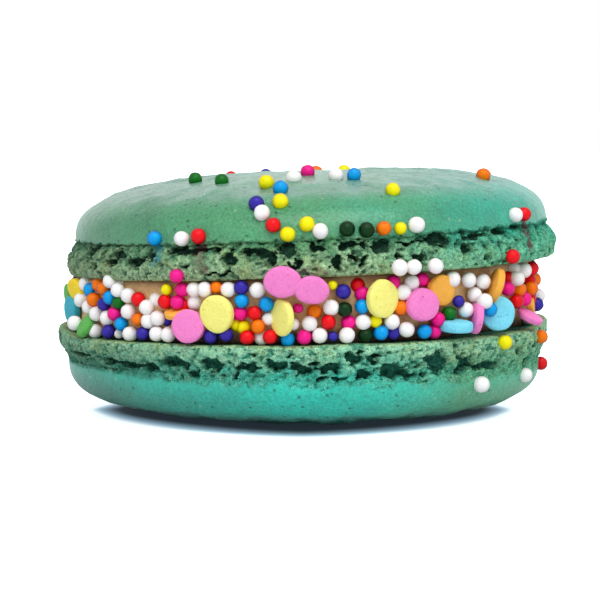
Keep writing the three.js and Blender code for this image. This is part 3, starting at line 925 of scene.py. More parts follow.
def makeShell(name, node, shell, inFront, material):
    # the rings, pushed in and out: lumps and grains are the caps of scattered balls, hollows
    # are cut back, the cap is gently wavy, its top crinkled, and rim and seam wave up and down
    seed, footHeight = shell["seed"], shell["footHeight"]
    rings = shellRings(shell)
    azimuth = np.arange(shellSet["around"]) * 360 / shellSet["around"]
    points = outwards(azimuth)[None] * rings[:, None, :1]
    points[..., 2] = rings[:, None, 1]
    radius, height = rings[:, :1], rings[:, 1:]
    offFace = smoothStep(radius, *shellSet["offFaceEnds"])
    overSeam = height - footHeight
    straggle = layeredNoise(points, shellSet["straggleSize"], seed + 40)
    straggle = shellSet["straggle"] * shell["crumbOver"] * straggle
    straggle *= 1 - shellSet["leftCalm"] * smoothStep(-points[..., 0], *shellSet["leftCalmEnds"])
    crumbTo = shellSet["crumbTo"] + shellSet["crumbFade"] * shell["crumbOver"]
    onFoot = 1 - smoothStep(overSeam - straggle, shellSet["crumbFrom"], crumbTo)
    onFoot *= radius > shellSet["faceEdge"]
    onFoot *= overSeam < shellSet["crumbTop"]

    lumps = ballCaps(points, shellSet["lump"], seed + 10)
    grains = ballCaps(points, shellSet["grain"], seed + 20)
    relief = (shellSet["lumpHeight"] * (lumps - shellSet["ballLevel"])
              + shellSet["grainHeight"] * (grains - shellSet["ballLevel"]))
    relief += shellSet["footWave"] * wobble(points, shellSet["footWaveSize"], seed + 30)
    least = shellSet["faceRelief"]
    relief *= least + (1 - least) * smoothStep(points[..., 2], *shellSet["faceReliefEnds"])
    relief *= 1 - shellSet["seamCalm"] * smoothStep(overSeam, *shellSet["seamCalmEnds"])
    hollow = hollowShare(points, shell, hollowsOf(shell, inFront)) * onFoot
    hollow *= 1 - smoothStep(overSeam, *shellSet["hollowTopEnds"])
    pitNoise = valueNoise(points, shellSet["pitSize"], seed + 80)
    pits = smoothStep(pitNoise, *shellSet["pitEnds"])
    relief -= shellSet["pitDepth"] * pits
    cap = (1 - onFoot) * (height > shellSet["faceHeight"])
    wave = shellSet["capWave"] * wobble(points, shellSet["capWaveSize"], seed + 50) * cap
    # the flat top: painted grey sheen, and soft wrinkles
    sheenTop = 1 - smoothStep(radius + np.zeros_like(onFoot), *shellSet["sheenTopEnds"])
    sheenTop = sheenTop * (overSeam > 0)
    crinkle = shellSet["crinkle"] * wobble(points, shellSet["crinkleSize"], seed + 55) * sheenTop
    crinkle *= smoothStep(radius, *shellSet["crinkleEnds"])
    depth = shellSet["hollowLeast"] + layeredNoise(points, shellSet["hollowDepthSize"], seed + 90)
    out = onFoot * relief - shellSet["hollowDepth"] * depth * hollow + wave * offFace

    rim = offFace * (1 - smoothStep(points[..., 2], *shellSet["rimEnds"]))
    rimWave = shellSet["rimWave"] * wobble(points, shellSet["rimWaveSize"], seed + 70) * rim
    if shell is lowerSet:
        sideways = np.abs(points[..., 0]) * (points[..., 1] < shellSet["curlBack"])
        curl = smoothStep(sideways, *shellSet["curlEnds"])
        rimWave = rimWave - shellSet["rimCurl"] * curl * rim
    points += outwards(azimuth)[None] * out[..., None]
    points[..., 2] += rimWave + wave + crinkle
    seam = smoothStep(height, footHeight - shellSet["seamUnder"], footHeight)
    low, high = [footHeight + over for over in shellSet["seamOver"]]
    seam = seam * (1 - smoothStep(height, low, high))
    seamNoise = wobble(points, shellSet["seamWaveSize"], seed + 60)
    points[..., 2] += shellSet["seamWave"] * seam * seamNoise

    top = footHeight + shell["domeHeight"]
    flat = np.concatenate([[[0, 0, 0]], points.reshape(-1, 3), [[0, 0, top]]])
    placed = fromShell(flat, shell)
    # painted shade of the crumb, between its lumps and grains and in the pits
    shade = shellSet["shadeLevel"] - shellSet["shadeLumps"] * lumps
    pitShade = np.clip(shade - shellSet["shadeGrains"] * grains + pits, 0, 1) * onFoot
    rise = np.clip(height / footHeight, 0, 1) + np.zeros_like(onFoot)
    # the flat face between the shells takes the dark colour of the hollows: painted shade
    onFace = (height < shellSet["faceHeight"]) * (radius < shellSet["faceEdge"])
    # paler band over the seam: partly pale dust, partly painted light
    stray = shellSet["edgeStray"] * wobble(points, shellSet["edgeStraySize"], seed + 44)
    edge = 1 - smoothStep(overSeam + stray, *shellSet["edgeEnds"])
    values = {"crumb": onFoot + onFace, "rise": rise, "hollow": hollow + onFace, "pitShade": pitShade,
              "edge": edge, "sheenTop": sheenTop}
    values = {label: np.pad(value.ravel(), 1) for label, value in values.items()}
    values.update(dyeShares(placed))
    faces = ringFaces(len(rings), len(azimuth))
    if shell is lowerSet:
        faces = [face[::-1] for face in faces]
    piece = meshPiece(name, placed, faces, material, values)
    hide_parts(node)
    return piece


makeShell("upperShell", "upper_shell", upperSet, upperHollows,
          makeCrust("upper crust", upperCrustSet))
print("upper shell made")
makeShell("lowerShell", "lower_shell", lowerSet, lowerHollows,
          makeCrust("lower crust", lowerCrustSet))
print("lower shell made")

# Cream

creamSet = {
    "around": 600,
    "rows": 22,
    "gap": 0.06,  # to the faces of the shells
    "setBack": 0.4,  # under the pearls
    "unevenness": 0.4,
    "unevenSize": 1.8,
    "undercut": 0.5,  # how much farther the lowest part stays back
    "undercutEnds": (0.05, 0.25),  # share of the height
    "rightUndercut": 1.3,
    "rightEnds": (0.2, 0.5),
    "rightFrom": (34, 44),  # azimuths
    "rightTo": (64, 76),
}


def makeCreamLayer():
    # radius = cream radius - set back + noise - undercut low down, more so at the right
    rows, around = creamSet["rows"], creamSet["around"]
    share = np.repeat(np.linspace(0, 1, rows)[:, None], around, 1)
    azimuth = np.repeat((np.arange(around) * 360 / around)[None], rows, 0)
    probe = outwards(azimuth) * wholeSet["creamRadius"]
    probe[..., 2] = share * wholeSet["fillingHeight"]
    radius = wholeSet["creamRadius"] - creamSet["setBack"]
    radius = radius + creamSet["unevenness"] * wobble(probe, creamSet["unevenSize"], 5)
    radius -= creamSet["undercut"] * (1 - smoothStep(share, *creamSet["undercutEnds"]))
    atRight = smoothStep(azimuth, *creamSet["rightFrom"])
    atRight *= 1 - smoothStep(azimuth, *creamSet["rightTo"])
    radius -= creamSet["rightUndercut"] * atRight * (1 - smoothStep(share, *creamSet["rightEnds"]))
    points = outwards(azimuth) * radius[..., None]
    low = lowerFaceAt(points[..., 0]) - wholeSet["restDepth"] + creamSet["gap"]
    high = upperFaceAt(points[..., 0]) - creamSet["gap"]
    points[..., 2] = low + (high - low) * share
    lowest, highest = lowerFaceAt(0.0) + creamSet["gap"], upperFaceAt(0.0) - creamSet["gap"]
    flat = np.concatenate([[[0, 0, lowest]], points.reshape(-1, 3), [[0, 0, highest]]])
    along = np.concatenate([[0], share.ravel(), [1]])
    piece = meshPiece("cream", flat, ringFaces(rows, around), makeCream(), {"along": along})
    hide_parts("filling")


makeCreamLayer()
print("cream made")

# Confetti

confettiSet = {
    "radius": 1.66,
    "thickness": 0.95,
    "around": 32,
    "rows": 12,
    "squareness": 5.0,  # exponent of the rounded edge
    "unevenness": 0.06,
    "unevenSize": 1.3,
    "look": {"flecks": 0.6, "rim": 0.0, "roughness": 0.7, "shine": 0.3, "bump": 0.07},
}
confettiTints = {
    "pink": ((252, 138, 208), (206, 84, 160)),
    "yellow": ((255, 250, 138), (244, 220, 90)),
    "gold": ((255, 224, 40), (236, 176, 20)),
    "orange": ((255, 186, 74), (236, 142, 44)),
    "cyan": ((134, 226, 246), (56, 170, 204)),
    # cyan in painted shade, for the disc at the far left
    "shadedCyan": ((60, 178, 198), (24, 122, 140)),
    "green": ((98, 184, 84), (50, 128, 50)),
}

# In front: colour, x and y in pixels, distance out of the cream, turn about the upright
# against facing outwards, lean of the top outwards, roll of the top to the right, and the
# width, height and thickness against the usual
frontConfetti = [
    ("green", 69, 293, 0.1, 10, 0, 0, 0.8, 0.56, 0.8),
    ("gold", 76.5, 289, 0.4, 8, 12, 0, 1.05, 0.66, 0.85),
    # the cyan disc at the far left, in painted shade
    ("shadedCyan", 72.5, 309.5, 0.5, 6, 3, -5, 1.1, 0.84, 0.95),
    ("green", 85.3, 326.3, 0.9, -6, -30, 0, 0.8, 0.7, 0.75),
    ("orange", 177, 313, 0.1, 0, -70, 0, 0.7, 0.7, 0.7),
    ("pink", 188.4, 326.3, 0.9, 7, -6, 0, 0.96, 0.97, 1.0),
    ("yellow", 216.8, 313.9, 0.9, -5, 4, 0, 0.96, 1.06, 1.0),
    ("yellow", 282, 318, 0.8, -50, 0, 0, 0.95, 1.02, 0.85),
    ("pink", 311.5, 290, 1.65, -3, 5, 4, 0.98, 0.78, 1.0),
    ("pink", 282, 282, 1.65, 4.3, 5, -6, 1.02, 0.87, 1.0),
    ("yellow", 382, 298.8, 0.8, 20, 2, -15, 1.0, 1.07, 1.0),
    ("orange", 441.3, 289.7, 0.2, 5, 6, 0, 0.93, 0.9, 0.9),
    ("pink", 422.7, 305, 0.9, 4, -4, 0, 1.03, 0.95, 1.0),
    ("orange", 495.5, 285.3, 0.8, 54, 18, 0, 0.98, 1.02, 0.9),
    ("cyan", 456.6, 326, 0.8, 0, -85, 0, 0.97, 0.97, 1.12),
    ("pink", 476, 318.5, 0.7, 60, 9.5, 0, 0.9, 0.88, 0.9),
    ("cyan", 498, 313.4, 0.9, -30, -5, 0, 1.02, 0.99, 1.0),
    ("orange", 531, 304, 0.0, 10, 0, 0, 0.7, 0.6, 0.8),
    ("pink", 529.6, 316.5, 0.7, 0, -62, 0, 0.82, 0.82, 0.75),
]
backConfettiSet = {
    "seed": 23,
    "from": 110,
    "to": 250,
    "count": 13,
    "stray": (-3, 3),
    "low": (0.35, 0.45),  # share of the height, by turns
    "high": (0.55, 0.65),
    "turn": (-55, 55),
    "lean": (-5, 25),
    "out": (0.6, 0.85),
    "roll": (-20, 20),
    "across": (0.92, 1.04),
    "thick": (0.85, 1.05),
    "tints": ("pink", "yellow", "cyan", "orange", "green"),
}


def turnAbout(axis, degrees):
    # rotation matrix about one of the three axes
    cosine, sine = np.cos(np.radians(degrees)), np.sin(np.radians(degrees))
    turned = np.eye(3)
    one, two = [(1, 2), (2, 0), (0, 1)][axis]
    turned[one, one] = turned[two, two] = cosine
    turned[one, two], turned[two, one] = -sine, sine
    return turned


def tablet(disc, seed):
    # superellipsoid: radius * cos(v)^(2/n) across and thickness / 2 * sin(v)^(2/n) deep,
    # a little uneven, then rolled, leaned, turned and moved
    rows, around = confettiSet["rows"], confettiSet["around"]
    power = 2 / confettiSet["squareness"]
    rise = np.radians(np.linspace(-90, 90, rows + 2)[1:-1])
    across = np.cos(rise) ** power * confettiSet["radius"]
    deep = np.sign(rise) * np.abs(np.sin(rise)) ** power * confettiSet["thickness"] / 2
    across = np.pad(np.repeat(across, around), 1)
    deepest = confettiSet["thickness"] / 2
    deep = np.concatenate([[-deepest], np.repeat(deep, around), [deepest]])
    angle = np.pad(np.tile(np.arange(around) * 2 * np.pi / around, rows), 1)
    points = np.stack([across * np.cos(angle), deep, -across * np.sin(angle)], -1)
    uneven = valueNoise(points + 40 * seed, confettiSet["unevenSize"], 7)
    uneven = 2 * confettiSet["unevenness"] * (uneven - 0.5)
    points *= 1 + uneven[:, None]
    points *= [disc["wide"], disc["thick"], disc["tall"]]
    facing = azimuthOf(disc["middle"]) + disc["turn"]
    turned = turnAbout(2, facing) @ turnAbout(0, disc["lean"]) @ turnAbout(1, disc["roll"])
    return points @ turned.T + disc["middle"]


def placeConfetti():
    # in front by the picture, behind evenly spaced with seeded turns
    discs = []
    for tint, x, y, out, turn, lean, roll, wide, tall, thick in frontConfetti:
        middle = onCylinder([(x, y)], wholeSet["creamRadius"] + out, wholeSet["creamShift"])[0]
        discs.append({"tint": tint, "middle": middle, "turn": turn, "lean": lean, "roll": roll,
                      "wide": wide, "tall": tall, "thick": thick})
    back = backConfettiSet
    draw = seededDraws(back["seed"])
    tints = back["tints"]
    span = back["to"] - back["from"]
    for k in range(back["count"]):
        azimuth = back["from"] + (k + 0.5) / back["count"] * span + draw(*back["stray"])
        along = draw(*back["low"]) if k % 2 else draw(*back["high"])
        turn, lean = draw(*back["turn"]), draw(*back["lean"])
        middle = outwards(azimuth) * (wholeSet["creamRadius"] + draw(*back["out"]))
        middle[2] = (1 - along) * lowerFaceAt(middle[0]) + along * upperFaceAt(middle[0])
        tint = tints[int(draw(0, len(tints) - 0.01))]
        discs.append({"tint": tint, "middle": middle, "turn": turn, "lean": lean,
                      "roll": draw(*back["roll"]), "wide": draw(*back["across"]),
                      "tall": draw(*back["across"]), "thick": draw(*back["thick"])})
    return discs


def makeConfetti(discs):
    # one piece per colour
    faces = ringFaces(confettiSet["rows"], confettiSet["around"])
    for tint, (base, fleckAndRimShade) in confettiTints.items():
        same = [tablet(disc, k) for k, disc in enumerate(discs) if disc["tint"] == tint]
        moved = [[corner + k * len(points) for corner in face]
                 for k, points in enumerate(same) for face in faces]
        material = makeSugar("confetti " + tint, base, fleckAndRimShade, confettiSet["look"])
        piece = meshPiece("confetti" + tint.capitalize(), np.concatenate(same), moved, material)
        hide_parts("filling")


confetti = placeConfetti()
makeConfetti(confetti)
print("confetti made:", len(confetti))

# Pearls

pearlSet = {
    "radius": 0.73,
    "whiteRadius": 0.775,
    "spread": 0.04,
    "out": 0.3,  # of the middle, from the cream's own radius
    "deeper": 0.35,  # how much farther in the half hidden ones sit
    "swell": 1.19,  # a subdivided cage is smaller than its corners
    "squash": 0.04,
    "closest": 0.85,  # middles keep this share of the two radii apart
    "farthestIn": 0.5,
    "inwardStep": 0.1,
    "backTries": 9000,
    "onDome": 0.35,  # height of the middle over the crust, in radii
    "onFoot": 0.6,
    "discRoom": 0.8,
    "proud": 1.3,  # how far out those that lie on confetti have their middles
    "sideLimits": (-23.6, 23.6),  # of x, for those hidden behind the sides
    "look": {"flecks": 0.35, "rim": 1.0, "roughness": 0.33, "shine": 0.2, "bump": 0.03},
}
# the second colour of each: flecks, and painted shade at the pearl's edge
pearlTints = {
    "white": ((255, 253, 251), (236, 224, 222)),
    "blue": ((0, 168, 244), (0, 84, 156)),
    "orange": ((255, 130, 0), (206, 62, 0)),
    "purple": ((58, 44, 170), (16, 8, 66)),
    "darkGreen": ((3, 56, 16), (1, 20, 6)),
    "green": ((10, 116, 26), (2, 48, 8)),
    "pink": ((255, 26, 150), (184, 0, 76)),
    "red": ((252, 14, 28), (150, 0, 8)),
    "yellow": ((255, 246, 0), (210, 176, 0)),
}

# Pearls in the cream in front, x and y in pixels
frontPearls = {
    "white": [
        (110.5, 281), (118, 290), (128.2, 295.4), (81, 300), (89, 307),
        (96.8, 313.8), (107.2, 318), (128.5, 311.5), (146.8, 307.3), (157.8, 318.2), (148.5, 321),
        (205, 289.6), (194.3, 289.6), (195.3, 302.7), (95.3, 331), (130.3, 333.8),
        (156.9, 333.8), (168.4, 334.7), (228.4, 289.6), (257.5, 290), (309.6, 323.6),
        (319.8, 335.5), (403.3, 292.5), (411.5, 283), (331, 307.6), (363.3, 321.9),
        (391.9, 321.8), (346.8, 335.3), (406.6, 329.4), (452.8, 279.2), (468.8, 280),
        (483.1, 281.6), (465.8, 309.8), (474.5, 294.8), (516.9, 278.8),
        (524, 270.3),
    ],
    "blue": [
        (90, 290), (110, 297.6), (121.2, 324), (241.7, 301), (266.6, 304.3), (362.2, 306.5),
        (381, 332.8), (424.4, 331.5),
    ],
    "orange": [
        (104, 288.5), (93.7, 299.6), (137.9, 319.4), (216.5, 287.4), (258, 326.5), (314.7, 311.4),
        (400.8, 307.8), (519.2, 289.5), (531.2, 288.4),
    ],
    "purple": [
        (104.2, 304.2), (108.4, 331.5), (143, 333.6), (241.2, 287.6), (210.7, 336.5),
        (226.1, 334.7), (343.2, 291.6), (333, 336.5), (393, 332.7), (458.6, 301.4),
        (536.5, 304.3),
    ],
    "green": [(119, 302.6), (449.3, 313.6)],
    "darkGreen": [(344.7, 309.4), (365.6, 334.9)],
    "pink": [
        (114.3, 313.7), (181.9, 289.8), (177, 302.3), (240.2, 313.4), (298.1, 308.3),
        (304.3, 337), (362.2, 293.8), (348.6, 322.6), (437.8, 319.3),
        (507.4, 288.6), (524.3, 299),
    ],
    "red": [
        (138.1, 299.3), (165.1, 301.7), (254.3, 313), (247.1, 337.4), (270.2, 336.7),
        (357.5, 285.1), (328.5, 322), (516.4, 301.5), (531.6, 268.7),
    ],
    "yellow": [(166.5, 289.7), (243.8, 327.2), (332.5, 285.2), (375.4, 321.2)],
}
# and those half hidden behind others
deeperPearls = {
    "white": [
        (86, 284), (98.8, 292.6), (122.5, 285), (156.9, 300), (119.2, 333.8), (261.5, 337.4),
        (268.5, 318.8), (293.8, 324.3), (513, 269.6), (537.5, 295.5),
    ],
    "blue": [(287.8, 339.3)],
    "orange": [(99, 284.8), (534, 279.5)],
    "purple": [(168.8, 319.4)],
    "pink": [(393.2, 282.7), (421.9, 280), (434.1, 331.2)],
    "red": [(185.3, 305), (529, 298.7), (507.2, 278.6), (528.6, 279)],
    "yellow": [(236, 324)],
}
# and those that lie on confetti
proudPearls = {"white": [(484.7, 301.2), (74.6, 323)], "blue": [(490, 309.6)]}
# Pearls baked onto the upper dome in front, and those just over its top: x and y in pixels
upperDomePearls = {
    "green": [(195.3, 179.3), (221.7, 180.6)],
    "darkGreen": [(347.2, 228.9), (366.7, 229.9)],
    "red": [(198.3, 236.2), (273.1, 225.1), (524.2, 214.1)],
    "purple": [(256.4, 203.6)],
    "yellow": [
        (266.4, 182.5), (280.4, 201.5), (287.6, 234.2), (306.9, 224), (392.9, 190), (400.6, 228.3),
    ],
    "blue": [(154.6, 238.4), (280.5, 188.1), (354, 175)],
    "white": [
        (181.7, 238.7), (262, 212.9), (293.7, 178.2), (320.4, 231.1), (336.1, 175.7),
        (416.6, 224.8), (515.4, 215),
    ],
    "pink": [(307.6, 171.7)],
    "orange": [(383.8, 228.3), (483.3, 175.5)],
}
overTopPearls = {
    "red": [(231, 177.6)], "purple": [(266, 175)], "orange": [(316, 172.6)],
    "yellow": [(344, 171.6)],
}
# Pearls on the lower dome: azimuth, and lift from the cap's edge, in degrees
lowerDomePearls = {"white": [(44.5, 5.5), (64, 4.2)], "red": [(84, 2.2)]}
# Pearls on the feet in front: x and y in pixels
upperFootPearls = {
    "red": [(512.8, 256.5)],
    "white": [(399.8, 267.5), (414, 267), (435.5, 266)],
    "pink": [(176.5, 276)],
}
lowerFootPearls = {"yellow": [(505, 342.4)], "orange": [(541, 336.6)]}
# Small ones among all these: pixels, and share of the usual radius
smallPearls = {
    (400.6, 228.3): 0.8, (332.5, 285.2): 0.65, (333, 336.5): 0.68, (298.1, 308.3): 0.7,
    (119.2, 333.8): 0.65, (458.6, 301.4): 0.85, (166.5, 289.7): 0.82, (216.5, 287.4): 0.85,
    (137.9, 319.4): 0.9, (375.4, 321.2): 0.88, (268.5, 318.8): 0.85, (293.8, 324.3): 0.75,
}
backPearlSet = {
    "from": 74,
    "to": 282,
    "most": 175,
    "firstTries": 0.3,  # share of the tries after which they go deeper, and by how much
    "deeper": 0.6,
    "offFaces": 0.75,  # of the middle, from the shells
    # how many of each hundred
    "tints": {"white": 42, "blue": 8, "orange": 9, "purple": 9, "green": 2, "darkGreen": 2,
              "pink": 13, "red": 10, "yellow": 5},
    "onDome": 9,
    "domeAzimuth": (110, 250),
    "domeLift": (3, 42),
}


def newPearl(tint, middle, draw, pixel=None):
    usual = pearlSet["whiteRadius"] if tint == "white" else pearlSet["radius"]
    radius = (usual + draw(-pearlSet["spread"], pearlSet["spread"])) * smallPearls.get(pixel, 1)
    return {"tint": tint, "middle": np.asarray(middle), "radius": radius}


def pearlsInCream():
    # on the cream where the picture shows them; where two are too close, the later or
    # half hidden one goes farther in
    pearls = []
    for places, extra in ((proudPearls, pearlSet["out"] - pearlSet["proud"]), (frontPearls, 0.0),
                          (deeperPearls, pearlSet["deeper"])):
        for tint, pixels in places.items():
            for pixel in pixels:
                draw = seededDraws(int(pixel[0] * 31 + pixel[1] * 7))
                pearl = newPearl(tint, (0, 0, 0), draw, pixel)
                inwards = extra - pearlSet["out"]
                while True:
                    radius = wholeSet["creamRadius"] - inwards
                    pearl["middle"] = onCylinder([pixel], radius, wholeSet["creamShift"])[0]
                    room = min((np.linalg.norm(other["middle"] - pearl["middle"])
                                - pearlSet["closest"] * (other["radius"] + pearl["radius"])
                                for other in pearls), default=1)
                    if room > 0 or inwards > pearlSet["farthestIn"]:
                        break
                    inwards += pearlSet["inwardStep"]
                pearls.append(pearl)
    return pearls


def pickTint(draw):
    # a colour with the chance of its share
    left = draw(0, sum(backPearlSet["tints"].values()))
    for tint, share in backPearlSet["tints"].items():
        left -= share
        if left <= 0:
            break
    return tint


def pearlsBehind(inFront, discs, draw):
    # seeded tries round the hidden side, kept where there is room; later tries go deeper, and
    # near the sides 1 / reach = sin(azimuth) / limit + cos(azimuth) / camera distance, so that
    # none stands out beside the ones in front
    pearls = []
    left, right = pearlSet["sideLimits"]
    cameraDistance = -cameraSet["place"][1]
    room = confettiSet["radius"] * pearlSet["discRoom"]
    taken = [(disc["middle"], room) for disc in discs]
    taken += [(pearl["middle"], pearl["radius"]) for pearl in inFront]
    for attempt in range(pearlSet["backTries"]):
        if len(pearls) == backPearlSet["most"]:
            break
        late = max(attempt / pearlSet["backTries"] - backPearlSet["firstTries"], 0)
        out = pearlSet["out"] - backPearlSet["deeper"] * late
        azimuth = draw(backPearlSet["from"], backPearlSet["to"])
        turn = np.radians(azimuth)
        limit = right - pearlSet["radius"] if azimuth < 180 else left + pearlSet["radius"]
        inverse = np.sin(turn) / limit + np.cos(turn) / cameraDistance
        reach = 1 / max(inverse, 1 / (wholeSet["creamRadius"] + out))
        middle = outwards(azimuth) * reach
        middle[2] = draw(lowerFaceAt(middle[0]) + backPearlSet["offFaces"],
                         upperFaceAt(middle[0]) - backPearlSet["offFaces"])
        pearl = newPearl(pickTint(draw), middle, draw)
        if all(np.linalg.norm(other - middle) > pearlSet["closest"] * (radius + pearl["radius"])
               for other, radius in taken):
            pearls.append(pearl)
            taken.append((middle, pearl["radius"]))
    return pearls


def pearlsOnDomes(draw):
    # by the picture; the rest have their middle at crust + onDome radii along its normal
    pearls = []
    out = pearlSet["onDome"] * pearlSet["radius"]
    for places, leaving in ((upperDomePearls, False), (overTopPearls, True)):
        for tint, pixels in places.items():
            middles = onDome(pixels, out, upperSet, leaving)
            pearls += [newPearl(tint, middle, draw, pixel)
                       for middle, pixel in zip(middles, pixels)]
    behind = {}
    for _ in range(backPearlSet["onDome"]):
        spot = behind.setdefault(pickTint(draw), [])
        spot.append((draw(*backPearlSet["domeAzimuth"]), draw(*backPearlSet["domeLift"])))
    for places, shell in ((behind, upperSet), (lowerDomePearls, lowerSet)):
        for tint, spots in places.items():
            for azimuth, lift in spots:
                radius, height = domePoint(lift, shell)
                middle = outwards(azimuth) * radius + [0, 0, height]
                middle += domeNormal(np.array(azimuth), np.array(lift), shell) * out
                pearls.append(newPearl(tint, fromShell(middle, shell), draw))
    return pearls


def pearlsOnFeet(draw):
    # on the foot's own radius + onFoot radii
    pearls = []
    for places, shell in ((upperFootPearls, upperSet), (lowerFootPearls, lowerSet)):
        for tint, pixels in places.items():
            for pixel in pixels:
                middle = onCylinder([pixel], wholeSet["footRadius"], shell["shift"])
                height = toShell(middle, shell)[0, 2]
                out = footRadiusAt(np.array(height), shell) + pearlSet["onFoot"] * pearlSet["radius"]
                pearls.append(newPearl(tint, onCylinder([pixel], out, shell["shift"])[0], draw))
    return pearls


def cubeBall():
    # corners of a cube with each side cut in four, blown up to a ball of radius 1
    grid = np.array([corner for corner in np.ndindex(3, 3, 3) if corner != (1, 1, 1)]) - 1
    index = {tuple(corner): k for k, corner in enumerate(grid.tolist())}
    faces = []
    for axis in range(3):
        one, two = (axis + 1) % 3, (axis + 2) % 3
        for side, u, v in np.ndindex(2, 2, 2):
            face = []
            for right, up in ((0, 0), (1, 0), (1, 1), (0, 1)):
                corner = [0, 0, 0]
                corner[axis], corner[one], corner[two] = 2 * side - 1, u + right - 1, v + up - 1
                face.append(index[tuple(corner)])
            faces.append(face if side else face[::-1])
    return grid / np.linalg.norm(grid, axis=1, keepdims=True), np.array(faces)


def makePearls(pearls, draw):
    # one piece per colour; each pearl is a rolled, slightly squashed ball
    corners, faces = cubeBall()
    for tint, (base, fleckAndRimShade) in pearlTints.items():
        same = [pearl for pearl in pearls if pearl["tint"] == tint]
        points = []
        for pearl in same:
            squash = [1 + draw(-pearlSet["squash"], pearlSet["squash"]) for _ in range(3)]
            rolled = turnAbout(2, draw(0, 360)) @ turnAbout(0, draw(0, 360))
            ball = (corners * squash) @ rolled.T * (pearl["radius"] * pearlSet["swell"])
            points.append(ball + pearl["middle"])
        moved = np.concatenate([faces + k * len(corners) for k in range(len(same))]).tolist()
        material = makeSugar("pearl " + tint, base, fleckAndRimShade, pearlSet["look"])
        name = "pearls" + tint[0].upper() + tint[1:]
        piece = meshPiece(name, np.concatenate(points), moved, material)
        rounder = piece.modifiers.new("rounder", "SUBSURF")
        rounder.levels = rounder.render_levels = 1
        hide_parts("lower_shell", "filling", "upper_shell")


pearlDraw = seededDraws(41)
creamPearls = pearlsInCream()
allPearls = (creamPearls + pearlsBehind(creamPearls, confetti, pearlDraw)
             + pearlsOnDomes(pearlDraw) + pearlsOnFeet(pearlDraw))
makePearls(allPearls, pearlDraw)
print("pearls made:", len(allPearls))

# Table and light

lightSet = {
    "worldStrength": 0.72,
    "worldTint": (0.94, 0.97, 1.0, 1),
    "backGlow": 0.6,  # how much brighter it is behind the macaron
    "backEnds": (0.55, 0.85),  # how far back a direction points where that starts and is full
    "sunStrength": 1.7,
    "sunAngle": 50,  # degrees across, for soft shadows
    "sunFrom": (0.12, -0.55, 0.8),
    "tableSide": 3000,  # half of it
    "tableRoughness": 0.9,
    "tableTint": (0.68, 0.7, 0.72, 1),  # that it lights the macaron with
    "shownTint": (0.8, 0.91, 0.98, 1),  # that the camera sees
    "shadowTint": (0.02, 0.02, 0.02, 1),
    "glowTint": (0.92, 0.98, 1.0, 1),
    "halfClearTint": (0.5, 0.76, 1.0, 1),
    "tableGlow": 0.8,
    "shadowMiddle": (-0.2, -0.5, 0.0),
    "shadowRoundness": 1.5,
    "shadowPower": 1.7,
    "sideShadow": (18.2, 21.4),  # mm from its middle where it starts to clear and is gone
    "frontShadow": (16.8, 23.0),
    "frontEnds": (-16, -4),  # y where the front one turns into the side one
    "shadowFloor": 0.03,  # glow of the darkest part
}


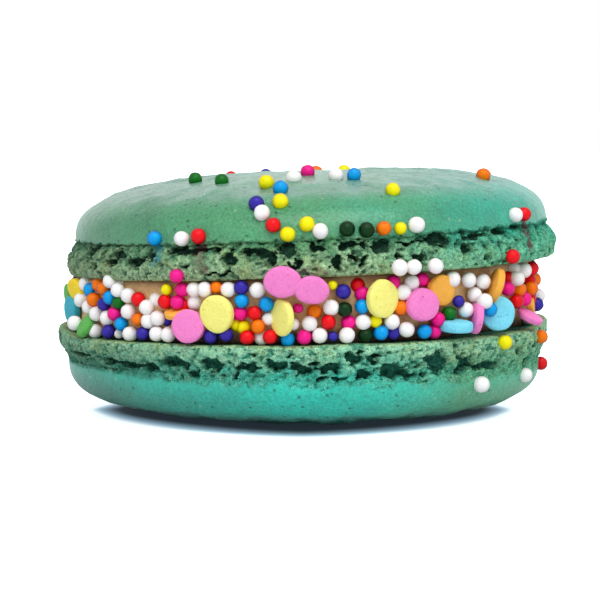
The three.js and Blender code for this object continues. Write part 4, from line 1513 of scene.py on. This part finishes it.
def makeTable():
    # white and a little bluish; seen directly it has a painted shadow round the macaron and a
    # painted glow away from it, so that the shadow stays narrow, and it throws back less light
    # than it shows. Distance from the middle = (|x|^n + |y|^n)^(1/n), clear = its share of the
    # way out of the painted shadow, to a power, and half clear is bluer than clear
    material, tree, shader, place = newMaterial("table")
    seen = tree.nodes.new("ShaderNodeLightPath").outputs["Is Camera Ray"]
    middle = [coordinate * mm for coordinate in lightSet["shadowMiddle"]]
    place = addNode(tree, "ShaderNodeVectorMath", {0: place, 1: middle}, operation="SUBTRACT")
    sides = addNode(tree, "ShaderNodeSeparateXYZ", {0: place.outputs["Vector"]}).outputs
    power = lightSet["shadowRoundness"]
    parts = [addMath(tree, "POWER", addMath(tree, "ABSOLUTE", sides[label], 0.0), power)
             for label in ("X", "Y")]
    away = addMath(tree, "POWER", addMath(tree, "ADD", *parts), 1 / power)
    ends = [y * mm for y in lightSet["frontEnds"]]
    inFront = addRange(tree, sides["Y"], *ends, 1.0, 0.0)
    start, end = [addRange(tree, inFront, 0.0, 1.0, side * mm, front * mm)
                  for side, front in zip(lightSet["sideShadow"], lightSet["frontShadow"])]
    clear = addMath(tree, "POWER", addRange(tree, away, start, end, 0.0, 1.0),
                    lightSet["shadowPower"])
    shown = addMix(tree, clear, lightSet["shadowTint"], lightSet["shownTint"])
    base = addMix(tree, seen, lightSet["tableTint"], shown)
    join(tree, base, shader["Base Color"])
    shader["Roughness"].default_value = lightSet["tableRoughness"]
    tint = addMix(tree, addRange(tree, clear, 0.5, 1.0, 0.0, 1.0), lightSet["halfClearTint"],
                  lightSet["glowTint"])
    join(tree, tint, shader["Emission Color"])
    glow = addRange(tree, clear, 0.0, 1.0, lightSet["shadowFloor"], lightSet["tableGlow"])
    join(tree, addMath(tree, "MULTIPLY", glow, seen), shader["Emission Strength"])
    corners = np.array([[-1, -1, 0], [1, -1, 0], [1, 1, 0], [-1, 1, 0]]) * lightSet["tableSide"]
    mesh = bpy.data.meshes.new("table")
    mesh.from_pydata((corners * mm).tolist(), [], [(0, 1, 2, 3)])
    mesh.materials.append(material)
    table = bpy.data.objects.new("table", mesh)
    bpy.context.scene.collection.objects.link(table)
    table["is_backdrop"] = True


def makeLight():
    # white all round and brighter behind, pure white where the camera sees it, and a wide
    # soft sun
    world = bpy.data.worlds.new("studio")
    world.use_nodes = True
    tree = world.node_tree
    background = tree.nodes["Background"]
    seen = tree.nodes.new("ShaderNodeLightPath").outputs["Is Camera Ray"]
    direction = tree.nodes.new("ShaderNodeTexCoord").outputs["Generated"]
    backwards = addNode(tree, "ShaderNodeSeparateXYZ", {0: direction}).outputs["Y"]
    brightest = lightSet["worldStrength"] + lightSet["backGlow"]
    glow = addRange(tree, backwards, *lightSet["backEnds"], lightSet["worldStrength"], brightest)
    strength = addRange(tree, seen, 0.0, 1.0, glow, 1.0)
    join(tree, strength, background.inputs["Strength"])
    tint = addMix(tree, seen, lightSet["worldTint"], (1, 1, 1, 1))
    join(tree, tint, background.inputs["Color"])
    bpy.context.scene.world = world
    sun = bpy.data.lights.new("sun", "SUN")
    sun.energy = lightSet["sunStrength"]
    sun.angle = np.radians(lightSet["sunAngle"])
    holder = bpy.data.objects.new("sun", sun)
    bpy.context.scene.collection.objects.link(holder)
    back = np.array(lightSet["sunFrom"]) / np.linalg.norm(lightSet["sunFrom"])
    right = np.cross([0, 0, 1], back)
    right /= np.linalg.norm(right)
    turned = np.eye(4)
    turned[:3, :3] = np.stack([right, np.cross(back, right), back], 1)
    holder.matrix_world = Matrix(turned.tolist())


makeTable()
makeLight()
bpy.context.scene.view_settings.view_transform = "Standard"
print("table and light set")

boxes = {label: [[float(c) for c in corner] for corner in box]
         for label, box in (("cad", frameBox), ("visual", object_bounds()))}
